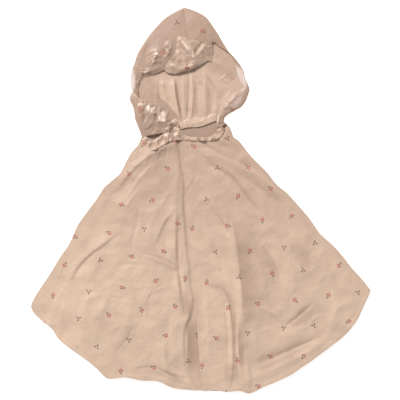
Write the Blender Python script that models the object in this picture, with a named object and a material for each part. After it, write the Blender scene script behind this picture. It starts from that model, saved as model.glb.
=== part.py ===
"""Child's hooded rain poncho laid flat on its back, as thin closed walls of cloth.

The garment lies on the plane z = 0 with its hood towards +Y and its hem towards -Y. The wearer's
right side is on -X. The origin is on that plane, under the middle of the outline. Tables give
millimetres on the laid garment; the meshes are in metres.

Each front is a sheet spread between its neckline, side seam, hem and centre edge, and lies on the
flat back panel with a little air between them. Each hood half starts at the centre-back seam, runs
out under the hood, turns over at the outline and comes back over the top to the face edge. The
brim and the neck band rest on those pieces. Folds are ridges and troughs along hand-placed lines.
"""
from typing import NamedTuple

import bmesh
import bpy
import numpy as np

# Driving dimensions, millimetres
CLOTH = 1.0                  # thickness of each wall of cloth
SEAM_GAP = 0.3               # space between pieces at a seam or where one lies on another
UNDERLAP_WIDTH = 44.0        # how far the right front runs on under the left one
STUD_DIAMETER = 12.0
STUD_THICKNESS = 1.2
STUD_SIDES = 16
MILLIMETRE = 0.001

# Heights of the middle of each wall above the surface
FLAT_HEIGHT = CLOTH / 2
FRONT_LOWEST = CLOTH + SEAM_GAP + CLOTH / 2 + 0.1
UNDERLAP_HEIGHT = FRONT_LOWEST + 0.1
OVERLAP_HEIGHT = UNDERLAP_HEIGHT + CLOTH + STUD_THICKNESS + 2 * SEAM_GAP + 0.2
FRONT_LOFT = 5.0             # air under the middle of the fronts
PLACKET_LOFT = 3.1           # air beside the placket, where the studs hold the layers together
NECK_LOFT = 0.6              # more air where the neckline gathers

# Grid of each sheet: points across and along
FRONT_GRID = (40, 22)
BACK_GRID = (14, 8)
BRIM_GRID = (16, 12)
BAND_GRID = (61, 6)
HOOD_ROWS = 25
HOOD_UNDER_POINTS = 13
HOOD_TURN_POINTS = 5
HOOD_OVER_POINTS = 15
CURVE_STEPS = 12             # points read from a curve between two of its knots
BAND_ARCH = 1.2              # how much higher the neck band's middle is than its edges
REST_REACH = 3.5             # how far round a point a piece looks for what it lies on
REST_MARGIN = 0.25

SEAM_SHIFT = np.array((SEAM_GAP / 2, 0.0))


class Fold(NamedTuple):
    """A ridge, or a trough if its height is negative, along a line that starts at the neck end."""

    path: tuple
    left: float              # half width on the left hand of someone who walks the path
    right: float             # half width on the right hand
    height: float


class HoodSection(NamedTuple):
    """One section of a hood half, at a share of its way from the tip to the neck."""

    share: float
    turn: float              # half the height of the turned edge at the outline
    crown: float             # height of the upper layer half way to its free edge
    edge: float              # height of the free edge, or of the crown seam


class BandSection(NamedTuple):
    """One section across the neck band."""

    upper: tuple             # point on the edge towards the hood
    lower: tuple             # point on the edge towards the fronts
    height: float            # height of the middle of the wall


class Gather(NamedTuple):
    """A gather across the neck band, at a share of its length."""

    share: float
    width: float             # half width along the band
    height: float            # above, or below, the band's plain height


class BrimRow(NamedTuple):
    """Heights of the brim along one row, from its joined edge (0) to its lip (1)."""

    share: float
    at_left: float
    at_middle: float
    at_right: float


# Outline of the body, from the neck down
RIGHT_SIDE = ((-144, 149), (-151, 132), (-166, 115), (-180, 91), (-193, 65), (-214, 46),
              (-233, 29), (-252, 0), (-274, -29), (-295, -59), (-307, -86), (-319, -110),
              (-336, -134), (-360, -173), (-379, -202), (-396, -228), (-406, -247), (-408, -257))
LEFT_SIDE = ((61, 178), (68, 176), (73, 166), (78, 152), (91, 142), (103, 127), (118, 108),
             (139, 86), (158, 67), (182, 37), (204, 19), (223, -1), (257, -40), (276, -67),
             (288, -83), (317, -109), (341, -136), (362, -163), (384, -187), (398, -204),
             (407, -216))
RIGHT_HEM = ((-408, -257), (-401, -271), (-382, -289), (-358, -308), (-343, -331), (-324, -347),
             (-298, -366), (-271, -385), (-250, -403), (-228, -425), (-211, -428), (-180, -425),
             (-142, -432), (-103, -434), (-79, -445), (-62, -451), (-26, -455), (4, -457))
LEFT_HEM = ((4, -458), (36, -456), (62, -459), (94, -457), (113, -463), (132, -457), (151, -447),
            (178, -436), (214, -419), (242, -400), (266, -384), (290, -366), (319, -344),
            (348, -320), (374, -288), (384, -269), (394, -247), (402, -230), (407, -216))
PLACKET_EDGE = ((-52, 146), (-49, 115), (-44, 77), (-38, 34), (-38, 0), (-35, -43), (-30, -91),
                (-26, -130), (-20, -163), (-17, -202), (-8, -240), (-5, -274), (-9, -302),
                (-7, -336), (-4, -374), (-2, -413), (4, -458))
RIGHT_NECKLINE = ((-144, 149), (-130, 132), (-113, 121), (-96, 130), (-74, 142), (-50, 146),
                  (-8, 146))
LEFT_NECKLINE = ((-52, 146), (-31, 148), (-10, 147), (12, 147), (31, 149), (46, 155), (55, 167),
                 (61, 178))
BACK_NECKLINE = ((-144, 149.0), (-31, 175.5), (61, 178.0))

# Outline of the hood and its inner edges, from the tip to the neck
RIGHT_HOOD_OUTLINE = ((-41, 462), (-60, 452), (-84, 438), (-101, 422), (-118, 403), (-132, 384),
                      (-144, 365), (-154, 346), (-160, 326), (-168, 307), (-169, 288),
                      (-168, 269), (-165, 260), (-170, 250), (-170, 238), (-163, 223),
                      (-160, 209), (-158, 194), (-152, 178), (-146, 163), (-142, 151))
LEFT_HOOD_OUTLINE = ((-41, 462), (-24, 457), (-7, 450), (10, 440), (19, 430), (31, 413),
                     (41, 398), (50, 382), (60, 366), (68, 354), (79, 343), (91, 328),
                     (101, 312), (106, 293), (113, 276), (116, 266), (113, 254), (107, 238),
                     (96, 223), (82, 215), (65, 205), (56, 197), (55, 187), (58, 180))
CENTRE_BACK_SEAM = ((-40, 452), (-34, 408), (-29, 336), (-29, 264), (-31, 176))
CROWN_SEAM = ((-40, 452), (-34, 408), (-31, 380))
RIGHT_FACE_EDGE = ((-31, 380), (-38, 355), (-55, 336), (-79, 317), (-106, 304), (-127, 298),
                   (-142, 290), (-148, 276), (-150, 259), (-146, 242), (-130, 234), (-115, 242),
                   (-98, 240), (-79, 221), (-62, 199), (-53, 182), (-52, 168))
LEFT_FACE_EDGE = ((-31, 380), (-22, 370), (-5, 365), (12, 370), (29, 376), (46, 366), (62, 356),
                  (72, 346), (84, 329), (94, 312), (98, 293), (102, 276), (94, 266), (77, 259),
                  (62, 245), (48, 228), (42, 216), (38, 199), (37, 186), (38, 174))

RIGHT_HOOD_SECTIONS = (
    HoodSection(share=0.00, turn=1.6, crown=3.8, edge=3.8),
    HoodSection(share=0.08, turn=2.6, crown=7.0, edge=7.2),
    HoodSection(share=0.20, turn=3.4, crown=10.0, edge=11.0),
    HoodSection(share=0.35, turn=4.0, crown=11.5, edge=9.5),
    HoodSection(share=0.46, turn=4.4, crown=12.0, edge=8.5),
    HoodSection(share=0.53, turn=4.2, crown=11.0, edge=7.5),
    HoodSection(share=0.62, turn=3.4, crown=8.0, edge=7.0),
    HoodSection(share=0.72, turn=4.6, crown=12.5, edge=8.5),
    HoodSection(share=0.84, turn=5.0, crown=14.5, edge=9.0),
    HoodSection(share=0.93, turn=4.4, crown=12.0, edge=9.0),
    HoodSection(share=1.00, turn=3.0, crown=8.2, edge=8.0),
)
LEFT_HOOD_SECTIONS = (
    HoodSection(share=0.00, turn=1.6, crown=3.8, edge=3.8),
    HoodSection(share=0.08, turn=2.6, crown=7.0, edge=7.2),
    HoodSection(share=0.20, turn=3.4, crown=10.0, edge=11.0),
    HoodSection(share=0.30, turn=3.5, crown=9.5, edge=9.5),
    HoodSection(share=0.37, turn=3.5, crown=8.6, edge=8.2),
    HoodSection(share=0.46, turn=3.5, crown=8.0, edge=7.5),
    HoodSection(share=0.56, turn=3.8, crown=8.6, edge=7.8),
    HoodSection(share=0.66, turn=3.8, crown=9.0, edge=7.6),
    HoodSection(share=0.76, turn=4.4, crown=11.0, edge=8.6),
    HoodSection(share=0.86, turn=4.4, crown=11.5, edge=8.8),
    HoodSection(share=0.94, turn=3.8, crown=10.0, edge=8.2),
    HoodSection(share=1.00, turn=3.0, crown=7.4, edge=7.2),
)

# The brim's four edges and its heights
BRIM_JOINED_EDGE = ((-60, 389), (-53, 392), (-41, 389), (-26, 385), (-10, 382), (10, 378),
                    (26, 377))
BRIM_LEFT_EDGE = ((-60, 389), (-58, 374), (-60, 360), (-68, 343), (-79, 329), (-89, 314))
BRIM_RIGHT_EDGE = ((26, 377), (28, 355), (24, 331))
BRIM_LIP = ((-89, 314), (-82, 306), (-67, 302), (-50, 305), (-36, 308), (-22, 312), (-7, 319),
            (7, 328), (17, 334), (24, 331))
BRIM_ROWS = (
    BrimRow(share=0.0, at_left=11.0, at_middle=11.0, at_right=9.0),
    BrimRow(share=0.3, at_left=13.0, at_middle=14.0, at_right=9.0),
    BrimRow(share=0.6, at_left=14.0, at_middle=14.5, at_right=7.5),
    BrimRow(share=0.9, at_left=14.4, at_middle=17.0, at_right=6.5),
    BrimRow(share=1.0, at_left=13.6, at_middle=14.0, at_right=6.0),
)

NECK_BAND_SECTIONS = (
    BandSection(upper=(-141, 157), lower=(-143, 146), height=8.6),
    BandSection(upper=(-125, 149), lower=(-127, 128), height=10.6),
    BandSection(upper=(-113, 144), lower=(-113, 119), height=10.4),
    BandSection(upper=(-101, 152), lower=(-96, 127), height=10.6),
    BandSection(upper=(-86, 163), lower=(-79, 138), height=10.8),
    BandSection(upper=(-72, 173), lower=(-62, 143), height=10.8),
    BandSection(upper=(-58, 174), lower=(-48, 143), height=10.4),
    BandSection(upper=(-46, 166), lower=(-31, 143), height=9.8),
    BandSection(upper=(-34, 158), lower=(-18, 142), height=9.4),
    BandSection(upper=(-18, 156), lower=(-2, 142), height=9.2),
    BandSection(upper=(0, 158), lower=(15, 142), height=9.0),
    BandSection(upper=(17, 158), lower=(29, 143), height=9.0),
    BandSection(upper=(31, 164), lower=(42, 148), height=9.2),
    BandSection(upper=(41, 172), lower=(52, 158), height=9.4),
    BandSection(upper=(49, 179), lower=(58, 170), height=9.0),
)

STUD_PLACES = ((-17, 24), (0, -103), (12, -223))

RIGHT_FRONT_FOLDS = (
    Fold(((-62, 136), (-98, 120), (-139, 96), (-175, 62), (-206, 24)), 9, 24, 5.0),
    Fold(((-60, -29), (-62, -72), (-62, -149)), 9, 16, 3.0),
    Fold(((-67, -29), (-84, -46), (-98, -72), (-108, -101)), 8, 14, 2.5),
    Fold(((-149, -12), (-151, -53), (-163, -96), (-161, -125), (-146, -154)), 14, 14, -2.0),
    Fold(((-139, -127), (-98, -139), (-58, -163), (-48, -192), (-41, -240)), 8, 9, -2.0),
    Fold(((-58, -190), (-118, -221), (-139, -274), (-130, -298), (-122, -319)), 8, 10, -2.0),
    Fold(((-91, -348), (-86, -379), (-79, -408)), 9, 9, 2.5),
    Fold(((-151, -403), (-110, -401), (-70, -420), (-26, -430)), 8, 8, -2.2),
    Fold(((-146, -422), (-110, -422), (-60, -444)), 7, 8, 2.2),
    Fold(((-199, -77), (-233, -103), (-266, -130), (-295, -158), (-314, -192)), 9, 18, 3.0),
    Fold(((-218, -216), (-238, -269), (-247, -326)), 16, 20, 2.2),
    Fold(((-290, -240), (-271, -293), (-242, -348)), 14, 14, 1.8),
)
LEFT_FRONT_FOLDS = (
    Fold(((-31, 132), (14, 89), (50, 67), (79, 38), (108, 0), (132, -36), (146, -67)), 10, 10, -2.8),
    Fold(((4, 132), (26, 122), (50, 108), (89, 89), (146, 67), (170, 48)), 9, 9, -2.4),
    Fold(((34, 120), (94, 84), (146, 48), (202, 0)), 12, 13, 2.6),
    Fold(((82, 67), (118, 43), (146, 24), (190, -12), (238, -60)), 10, 10, -2.0),
    Fold(((19, -14), (34, -36), (50, -60), (74, -91)), 8, 9, -2.2),
    Fold(((60, -53), (70, -86), (79, -132), (91, -187), (96, -240), (94, -312), (101, -360)),
         16, 18, 6.0),
    Fold(((12, -206), (43, -221), (53, -240), (60, -269), (65, -312), (67, -408)), 7, 8, -2.8),
    Fold(((50, -216), (65, -247), (72, -288), (74, -348), (74, -408), (67, -446)), 6, 7, 3.2),
    Fold(((72, -230), (82, -259), (85, -300), (85, -372), (91, -413)), 7, 6, -3.0),
    Fold(((108, -384), (113, -413), (115, -451)), 8, 9, 2.4),
    Fold(((266, -252), (245, -269), (209, -298), (194, -312)), 9, 9, -2.0),
    Fold(((118, -401), (146, -389), (214, -360), (281, -329)), 8, 8, -0.8),
    Fold(((127, -425), (178, -403), (218, -384), (257, -362), (288, -343)), 9, 8, 3.0),
    Fold(((334, -240), (319, -276), (310, -312)), 12, 12, 2.0),
    Fold(((214, -77), (245, -108), (266, -139), (276, -180)), 14, 18, 2.2),
)
HOOD_INSIDE_FOLDS = (
    Fold(((-67, 292), (-62, 257), (-54, 216), (-48, 192)), 6, 13, 3.6),
    Fold(((-93, 288), (-90, 262), (-79, 232)), 10, 7, 2.6),
    Fold(((-22, 296), (-20, 252), (-23, 194)), 8, 6, 3.0),
    Fold(((8, 293), (8, 240), (10, 190)), 9, 9, 3.2),
    Fold(((30, 278), (32, 240), (26, 200)), 8, 8, 2.4),
)

HOOD_OUTSIDE_FOLDS = (
    Fold(((-145, 228), (-144, 206), (-143, 185)), 5, 6, 1.8),
    Fold(((-136, 230), (-134, 209), (-134, 187)), 5, 5, -1.8),
    Fold(((-130, 226), (-115, 214), (-106, 194)), 6, 7, 2.2),
    Fold(((-98, 216), (-86, 199), (-74, 180)), 6, 6, 2.2),
    Fold(((-120, 233), (-106, 221), (-91, 202), (-82, 182)), 5, 5, -2.0),
    Fold(((7, 434), (19, 413), (29, 391)), 8, 8, 1.6),
    Fold(((-2, 430), (10, 408), (19, 386)), 6, 6, -1.6),
    Fold(((-125, 382), (-132, 355), (-134, 324)), 8, 8, -1.6),
    Fold(((-103, 365), (-110, 341), (-122, 317)), 7, 9, 2.2),
    Fold(((-72, 377), (-77, 355), (-89, 336)), 5, 7, 2.0),
    Fold(((89, 257), (72, 240), (58, 218)), 7, 7, 1.8),
    Fold(((-139, 302), (-120, 310), (-98, 317)), 5, 6, 1.6),
)
BRIM_FOLDS = (
    Fold(((-58, 391), (-41, 372), (-29, 355), (-19, 341)), 6, 8, 3.4),
    Fold(((0, 372), (-7, 360), (-14, 348)), 9, 9, -3.0),
    Fold(((12, 372), (-2, 355), (-17, 338)), 6, 6, 2.4),
    Fold(((-70, 319), (-46, 314), (-17, 322), (7, 334)), 6, 9, 2.0),
    Fold(((-62, 355), (-72, 336), (-77, 324)), 6, 6, 1.8),
)
NECK_BAND_GATHERS = (
    Gather(share=0.05, width=4, height=1.4),
    Gather(share=0.13, width=5, height=-1.2),
    Gather(share=0.20, width=4, height=1.6),
    Gather(share=0.27, width=5, height=-1.4),
    Gather(share=0.34, width=4, height=1.8),
    Gather(share=0.41, width=4, height=-1.2),
    Gather(share=0.46, width=3, height=1.4),
    Gather(share=0.52, width=5, height=-1.2),
    Gather(share=0.59, width=4, height=1.2),
    Gather(share=0.65, width=4, height=-1.0),
    Gather(share=0.71, width=5, height=1.6),
    Gather(share=0.77, width=4, height=-1.2),
    Gather(share=0.84, width=5, height=1.2),
    Gather(share=0.92, width=4, height=-1.0),
)


def smooth_curve(knots, count):
    """Return count points, evenly spaced by length, on a smooth curve through the knots."""
    knots = np.array(knots, dtype=float)
    padded = np.vstack([2 * knots[0] - knots[1], knots, 2 * knots[-1] - knots[-2]])
    t = np.linspace(0.0, 1.0, CURVE_STEPS, endpoint=False)[:, None]
    spans = []
    for before, start, end, after in zip(padded, padded[1:], padded[2:], padded[3:]):
        spans.append(0.5 * (2 * start + (end - before) * t
                            + (2 * before - 5 * start + 4 * end - after) * t ** 2
                            + (3 * start - before - 3 * end + after) * t ** 3))
    spans.append(knots[-1:])
    return respace(np.vstack(spans), count)


def respace(points, count):
    """Return count points spaced evenly by length along a polyline."""
    points = np.array(points, dtype=float)
    steps = np.linalg.norm(np.diff(points, axis=0), axis=1)
    lengths = np.concatenate([[0.0], np.cumsum(steps)])
    wanted = np.linspace(0.0, lengths[-1], count)
    return np.column_stack([np.interp(wanted, lengths, points[:, k]) for k in (0, 1)])


def joined_curve(first, second, count):
    """Return points along two smooth curves that meet in a corner."""
    dense = CURVE_STEPS * (len(first) + len(second))
    return respace(np.vstack([smooth_curve(first, dense), smooth_curve(second, dense)]), count)


def spread(top, bottom, start, end):
    """Fill the space between four edges; rows run from top to bottom, columns from start to end."""
    rows, columns = len(start), len(top)
    down = np.linspace(0.0, 1.0, rows)[:, None, None]
    across = np.linspace(0.0, 1.0, columns)[None, :, None]
    corners = ((1 - down) * (1 - across) * top[0] + (1 - down) * across * top[-1]
               + down * (1 - across) * bottom[0] + down * across * bottom[-1])
    return ((1 - down) * top[None] + down * bottom[None]
            + (1 - across) * start[:, None] + across * end[:, None] - corners)


def soft_step(value, low, high):
    """Rise smoothly from 0 at low to 1 at high."""
    share = np.clip((value - low) / (high - low), 0.0, 1.0)
    return share * share * (3 - 2 * share)


def fold_heights(places, folds):
    """Sum the heights of the folds at each place of an array of x, y."""
    total = np.zeros(places.shape[:-1])
    for fold in folds:
        path = smooth_curve(fold.path, CURVE_STEPS * 2)
        starts, steps = path[:-1], np.diff(path, axis=0)
        offsets = places[..., None, :] - starts
        along = np.clip((offsets * steps).sum(-1) / (steps ** 2).sum(-1), 0.0, 1.0)
        away = offsets - along[..., None] * steps
        distance = np.linalg.norm(away, axis=-1)
        nearest = distance.argmin(-1)[..., None]
        side = np.take_along_axis(steps[:, 0] * away[..., 1] - steps[:, 1] * away[..., 0],
                                  nearest, -1)[..., 0]
        distance = np.take_along_axis(distance, nearest, -1)[..., 0]
        share = (nearest[..., 0] + np.take_along_axis(along, nearest, -1)[..., 0]) / len(steps)
        width = np.where(side > 0, fold.left, fold.right)
        ends = soft_step(share, -0.15, 0.3) * soft_step(1 - share, -0.15, 0.3)
        total += fold.height * ends * np.exp(-(distance / width) ** 2)
    return total


def placket_x(y):
    """Return x of the overlap's edge at each y."""
    edge = smooth_curve(PLACKET_EDGE, 60)
    return np.interp(-y, -edge[:, 1], edge[:, 0])


def read_table(sections, column, shares):
    """Read one column of a table of sections at each share of the way."""
    stations = [section.share for section in sections]
    return np.interp(shares, stations, [getattr(section, column) for section in sections])


def wall(points, upright_columns=(), seam_at_first_row=False):
    """Return vertices and triangles of a closed wall of cloth around a grid of middle points.

    The wall is CLOTH thick across its slope. On the named columns, which lie along a seam, its
    rim stands upright, and a first row that lies on the centre seam keeps its rim square to it.
    No point goes below the surface that the garment lies on.
    """
    rows, columns = points.shape[:2]
    along = np.gradient(points, axis=1)
    down = np.gradient(points, axis=0)
    normals = np.cross(down, along)
    if seam_at_first_row:
        normals[0, :, 0] = 0.0
    normals /= np.linalg.norm(normals, axis=-1)[..., None]
    for column in upright_columns:
        normals[:, column, :2] = 0.0
        normals[:, column, 2] = np.sign(normals[:, column, 2])
    sides = np.stack([points + normals * CLOTH / 2, points - normals * CLOTH / 2])
    sides[..., 2] = np.maximum(sides[..., 2], 0.0)
    vertices = sides.reshape(-1, 3)
    other = rows * columns
    faces = []
    for row in range(rows - 1):
        for column in range(columns - 1):
            a = row * columns + column
            b, c, d = a + 1, a + columns + 1, a + columns
            level = abs(points[row, column, 2] - points[row + 1, column + 1, 2])
            crossing = abs(points[row, column + 1, 2] - points[row + 1, column, 2])
            halves = ((a, b, c), (a, c, d)) if level <= crossing else ((a, b, d), (b, c, d))
            for half in halves:
                faces.append(half)
                faces.append(tuple(other + corner for corner in reversed(half)))
    rim = [row * columns for row in range(rows)]
    rim += [(rows - 1) * columns + column for column in range(1, columns)]
    rim += [row * columns + columns - 1 for row in range(rows - 2, -1, -1)]
    rim += list(range(columns - 2, 0, -1))
    for here, there in zip(rim, rim[1:] + rim[:1]):
        faces.append((here, there, other + there))
        faces.append((here, other + there, other + here))
    return vertices, faces


def cloth_material(name, colour, roughness):
    """Return a Principled material for one piece."""
    material = bpy.data.materials.new(name)
    material.use_nodes = True
    shader = material.node_tree.nodes["Principled BSDF"]
    shader.inputs["Base Color"].default_value = (*colour, 1.0)
    shader.inputs["Roughness"].default_value = roughness
    shader.inputs["Metallic"].default_value = 0.0
    return material


def add_piece(name, vertices, faces, colour, roughness=0.5):
    """Make one named object, in metres, with its faces pointing out."""
    mesh = bpy.data.meshes.new(name)
    mesh.from_pydata([tuple(vertex * MILLIMETRE) for vertex in vertices], [], faces)
    work = bmesh.new()
    work.from_mesh(mesh)
    bmesh.ops.recalc_face_normals(work, faces=work.faces)
    work.to_mesh(mesh)
    work.free()
    mesh.shade_smooth()
    mesh.materials.append(cloth_material(name, colour, roughness))
    piece = bpy.data.objects.new(name, mesh)
    bpy.context.collection.objects.link(piece)
    return piece


def with_heights(places, heights):
    """Join an array of x, y with an array of heights."""
    return np.concatenate([places, heights[..., None]], axis=-1)


def front_loft(columns, rows, seam_first):
    """Return the air under a front: none at the side seam, open at the neck and the hem."""
    across = np.linspace(0.0, 1.0, columns)[None, :]
    from_seam = across if seam_first else 1 - across
    down = np.linspace(0.0, 1.0, rows)[:, None]
    swell = soft_step(from_seam, 0.0, 0.32)
    neck = soft_step(from_seam, 0.0, 0.25) * (1 - soft_step(down, 0.0, 0.14))
    return FRONT_LOFT * swell + NECK_LOFT * neck


def beside_placket(past_edge, near, far):
    """Return the share of the loft left beside the placket, from its edge or stitching outwards."""
    settled = PLACKET_LOFT / FRONT_LOFT
    return settled + (1 - settled) * soft_step(np.abs(past_edge), near, far)


def right_front():
    """Right front, with the underlap that runs on under the left one."""
    columns, rows = FRONT_GRID
    inner_edge = smooth_curve(PLACKET_EDGE, rows) + (UNDERLAP_WIDTH, 0.0)
    hem = np.vstack([smooth_curve(RIGHT_HEM, 60), inner_edge[-1:]])
    places = spread(smooth_curve(RIGHT_NECKLINE, columns), respace(hem, columns),
                    smooth_curve(RIGHT_SIDE, rows), inner_edge)
    past_edge = places[..., 0] - placket_x(places[..., 1])
    loft = front_loft(columns, rows, seam_first=True) * beside_placket(past_edge, 20.0, 75.0)
    loft += fold_heights(places, RIGHT_FRONT_FOLDS)
    under = soft_step(past_edge, -22.0, -4.0)
    heights = FRONT_LOWEST + np.maximum(loft, 0.0) * (1 - under)
    heights += (UNDERLAP_HEIGHT - FRONT_LOWEST) * under
    return with_heights(places, heights)


def left_front():
    """Left front, whose overlap lies on the underlap and on the press studs."""
    columns, rows = FRONT_GRID
    places = spread(smooth_curve(LEFT_NECKLINE, columns), smooth_curve(LEFT_HEM, columns),
                    smooth_curve(PLACKET_EDGE, rows), smooth_curve(LEFT_SIDE, rows))
    past_edge = places[..., 0] - placket_x(places[..., 1])
    loft = front_loft(columns, rows, seam_first=False) * beside_placket(past_edge, 36.0, 90.0)
    loft += fold_heights(places, LEFT_FRONT_FOLDS)
    lowest = OVERLAP_HEIGHT - (OVERLAP_HEIGHT - FRONT_LOWEST) * soft_step(
        past_edge, UNDERLAP_WIDTH + 12.0, UNDERLAP_WIDTH + 34.0)
    heights = np.maximum(FRONT_LOWEST + loft, lowest)
    return with_heights(places, heights)


def back_panel():
    """Back panel, flat on the surface, just inside the outline of the fronts."""
    columns, rows = BACK_GRID
    hem = np.vstack([smooth_curve(RIGHT_HEM, 60), smooth_curve(LEFT_HEM, 60)])
    places = spread(respace(BACK_NECKLINE, columns), respace(hem, columns),
                    smooth_curve(RIGHT_SIDE, rows), smooth_curve(LEFT_SIDE, rows))
    return with_heights(places, np.full(places.shape[:2], FLAT_HEIGHT))


def hood_half(outline, face_edge, sections, shift):
    """Return a hood half's grid: under layer, turned edge and upper layer, from tip to neck."""
    centre_back = smooth_curve(CENTRE_BACK_SEAM, HOOD_ROWS) + shift
    turned = smooth_curve(outline, HOOD_ROWS)
    turned[0] += shift
    free = joined_curve(CROWN_SEAM, face_edge, HOOD_ROWS) + shift
    shares = np.linspace(0.0, 1.0, HOOD_ROWS)
    turn = read_table(sections, "turn", shares)
    crown = read_table(sections, "crown", shares)
    edge = read_table(sections, "edge", shares)
    grid = []
    for row in range(HOOD_ROWS):
        inwards_under = centre_back[row] - turned[row]
        inwards_over = free[row] - turned[row]
        room_over = np.linalg.norm(inwards_over)
        depth = min(turn[row], 0.35 * room_over)
        inwards_under /= np.linalg.norm(inwards_under)
        inwards_over /= room_over
        bend_start = turned[row] + inwards_under * depth
        bend_end = turned[row] + inwards_over * depth
        line = []
        for share in np.linspace(0.0, 1.0, HOOD_UNDER_POINTS):
            place = centre_back[row] + (bend_start - centre_back[row]) * share
            fade = 1 - soft_step(share, 0.70, 0.92)
            height = FLAT_HEIGHT + fade * max(fold_heights(place, HOOD_INSIDE_FOLDS), 0.0)
            line.append((*place, height))
        for angle in np.linspace(-np.pi / 2, np.pi / 2, HOOD_TURN_POINTS + 2)[1:-1]:
            blend = (np.sin(angle) + 1) / 2
            inwards = inwards_under * (1 - blend) + inwards_over * blend
            place = turned[row] + inwards * depth * (1 - np.cos(angle))
            line.append((*place, FLAT_HEIGHT + turn[row] * (1 + np.sin(angle))))
        start_height = FLAT_HEIGHT + 2 * turn[row]
        rise = crown[row] - (start_height + edge[row]) / 2
        for share in np.linspace(0.0, 1.0, HOOD_OVER_POINTS):
            place = bend_end + (free[row] - bend_end) * share
            height = start_height * (1 - share) + edge[row] * share + 4 * rise * share * (1 - share)
            settled = soft_step(share, 0.0, 0.2) * soft_step(1 - share, 0.0, 0.12)
            line.append((*place, height + settled * fold_heights(place, HOOD_OUTSIDE_FOLDS)))
        grid.append(line)
    return np.array(grid)


def refined(grid, times):
    """Return a grid's points with more between them, as a plain list of points."""
    for axis in (0, 1):
        count = grid.shape[axis]
        spots = np.linspace(0, count - 1, (count - 1) * times + 1)
        low = np.minimum(spots.astype(int), count - 2)
        shape = [1, 1, 1]
        shape[axis] = len(spots)
        share = (spots - low).reshape(shape)
        grid = (np.take(grid, low, axis) * (1 - share) + np.take(grid, low + 1, axis) * share)
    return grid.reshape(-1, 3)


def resting_heights(places, pieces):
    """Return, at each place, the height of a wall that lies on the pieces under it."""
    under = np.vstack([refined(piece, 4) for piece in pieces])
    heights = np.zeros(places.shape[:-1])
    for index in np.ndindex(heights.shape):
        distance = np.linalg.norm(under[:, :2] - places[index], axis=1)
        near = under[distance < REST_REACH, 2]
        heights[index] = near.max() + CLOTH + SEAM_GAP + REST_MARGIN if len(near) else 0.0
    return heights


def brim(under_pieces):
    """The peak over the forehead, lying on the front of both hood halves."""
    columns, rows = BRIM_GRID
    places = spread(smooth_curve(BRIM_JOINED_EDGE, columns), smooth_curve(BRIM_LIP, columns),
                    smooth_curve(BRIM_LEFT_EDGE, rows), smooth_curve(BRIM_RIGHT_EDGE, rows))
    across = np.linspace(0.0, 1.0, columns)
    heights = []
    for share in np.linspace(0.0, 1.0, rows):
        stations = [read_table(BRIM_ROWS, column, share)
                    for column in ("at_left", "at_middle", "at_right")]
        heights.append(np.interp(across, (0.0, 0.6, 1.0), stations))
    heights = np.array(heights) + fold_heights(places, BRIM_FOLDS)
    return with_heights(places, np.maximum(heights, resting_heights(places, under_pieces)))


def neck_band(under_pieces):
    """The gathered strip over the joint of hood and fronts."""
    columns, rows = BAND_GRID
    upper = smooth_curve([section.upper for section in NECK_BAND_SECTIONS], columns)
    lower = smooth_curve([section.lower for section in NECK_BAND_SECTIONS], columns)
    shares = np.linspace(0.0, 1.0, rows)[:, None, None]
    places = upper * (1 - shares) + lower * shares
    stations = np.linspace(0.0, 1.0, len(NECK_BAND_SECTIONS))
    along = np.interp(np.linspace(0.0, 1.0, columns), stations,
                      [section.height for section in NECK_BAND_SECTIONS])
    middle = smooth_curve((upper + lower) / 2, columns)
    length = np.linalg.norm(np.diff(middle, axis=0), axis=1).sum()
    spots = np.linspace(0.0, length, columns)
    for gather in NECK_BAND_GATHERS:
        along += gather.height * np.exp(-((spots - gather.share * length) / gather.width) ** 2)
    arch = BAND_ARCH * np.sin(np.pi * np.linspace(0.0, 1.0, rows))[:, None]
    rest = resting_heights(places, under_pieces)
    return with_heights(places, np.maximum(along[None, :] + arch, rest))


def press_stud(index, place):
    """A fastened press stud, lying between the underlap and the overlap."""
    radius = STUD_DIAMETER / 2
    bottom = UNDERLAP_HEIGHT + CLOTH / 2 + SEAM_GAP
    work = bmesh.new()
    bmesh.ops.create_cone(work, cap_ends=True, segments=STUD_SIDES, radius1=radius,
                          radius2=radius, depth=STUD_THICKNESS)
    rims = [edge for edge in work.edges
            if abs(edge.verts[0].co.z - edge.verts[1].co.z) < STUD_THICKNESS / 2]
    bmesh.ops.bevel(work, geom=rims, offset=STUD_THICKNESS / 4, segments=1, affect="EDGES")
    bmesh.ops.translate(work, verts=work.verts, vec=(*place, bottom + STUD_THICKNESS / 2))
    bmesh.ops.scale(work, verts=work.verts, vec=(MILLIMETRE,) * 3)
    name = f"press_stud_{index}"
    mesh = bpy.data.meshes.new(name)
    work.to_mesh(mesh)
    work.free()
    mesh.materials.append(cloth_material(name, (0.72, 0.62, 0.55), 0.3))
    bpy.context.collection.objects.link(bpy.data.objects.new(name, mesh))


def main():
    """Clear the scene and build every piece."""
    for thing in list(bpy.data.objects):
        bpy.data.objects.remove(thing)
    right, left = right_front(), left_front()
    right_half = hood_half(RIGHT_HOOD_OUTLINE, RIGHT_FACE_EDGE, RIGHT_HOOD_SECTIONS, -SEAM_SHIFT)
    left_half = hood_half(LEFT_HOOD_OUTLINE, LEFT_FACE_EDGE, LEFT_HOOD_SECTIONS, SEAM_SHIFT)
    edges = (0, -1)
    add_piece("back_panel", *wall(back_panel(), edges), (0.62, 0.47, 0.38))
    add_piece("right_front", *wall(right, edges), (0.67, 0.52, 0.42))
    add_piece("left_front", *wall(left, edges), (0.67, 0.51, 0.41))
    add_piece("right_hood", *wall(right_half, edges, True), (0.60, 0.46, 0.37))
    add_piece("left_hood", *wall(left_half, edges, True), (0.60, 0.45, 0.36))
    add_piece("hood_brim", *wall(brim((right_half, left_half))), (0.58, 0.44, 0.35))
    add_piece("neck_band", *wall(neck_band((right_half, left_half, right, left))),
              (0.62, 0.48, 0.38))
    for index, place in enumerate(STUD_PLACES, start=1):
        press_stud(index, place)


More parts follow.
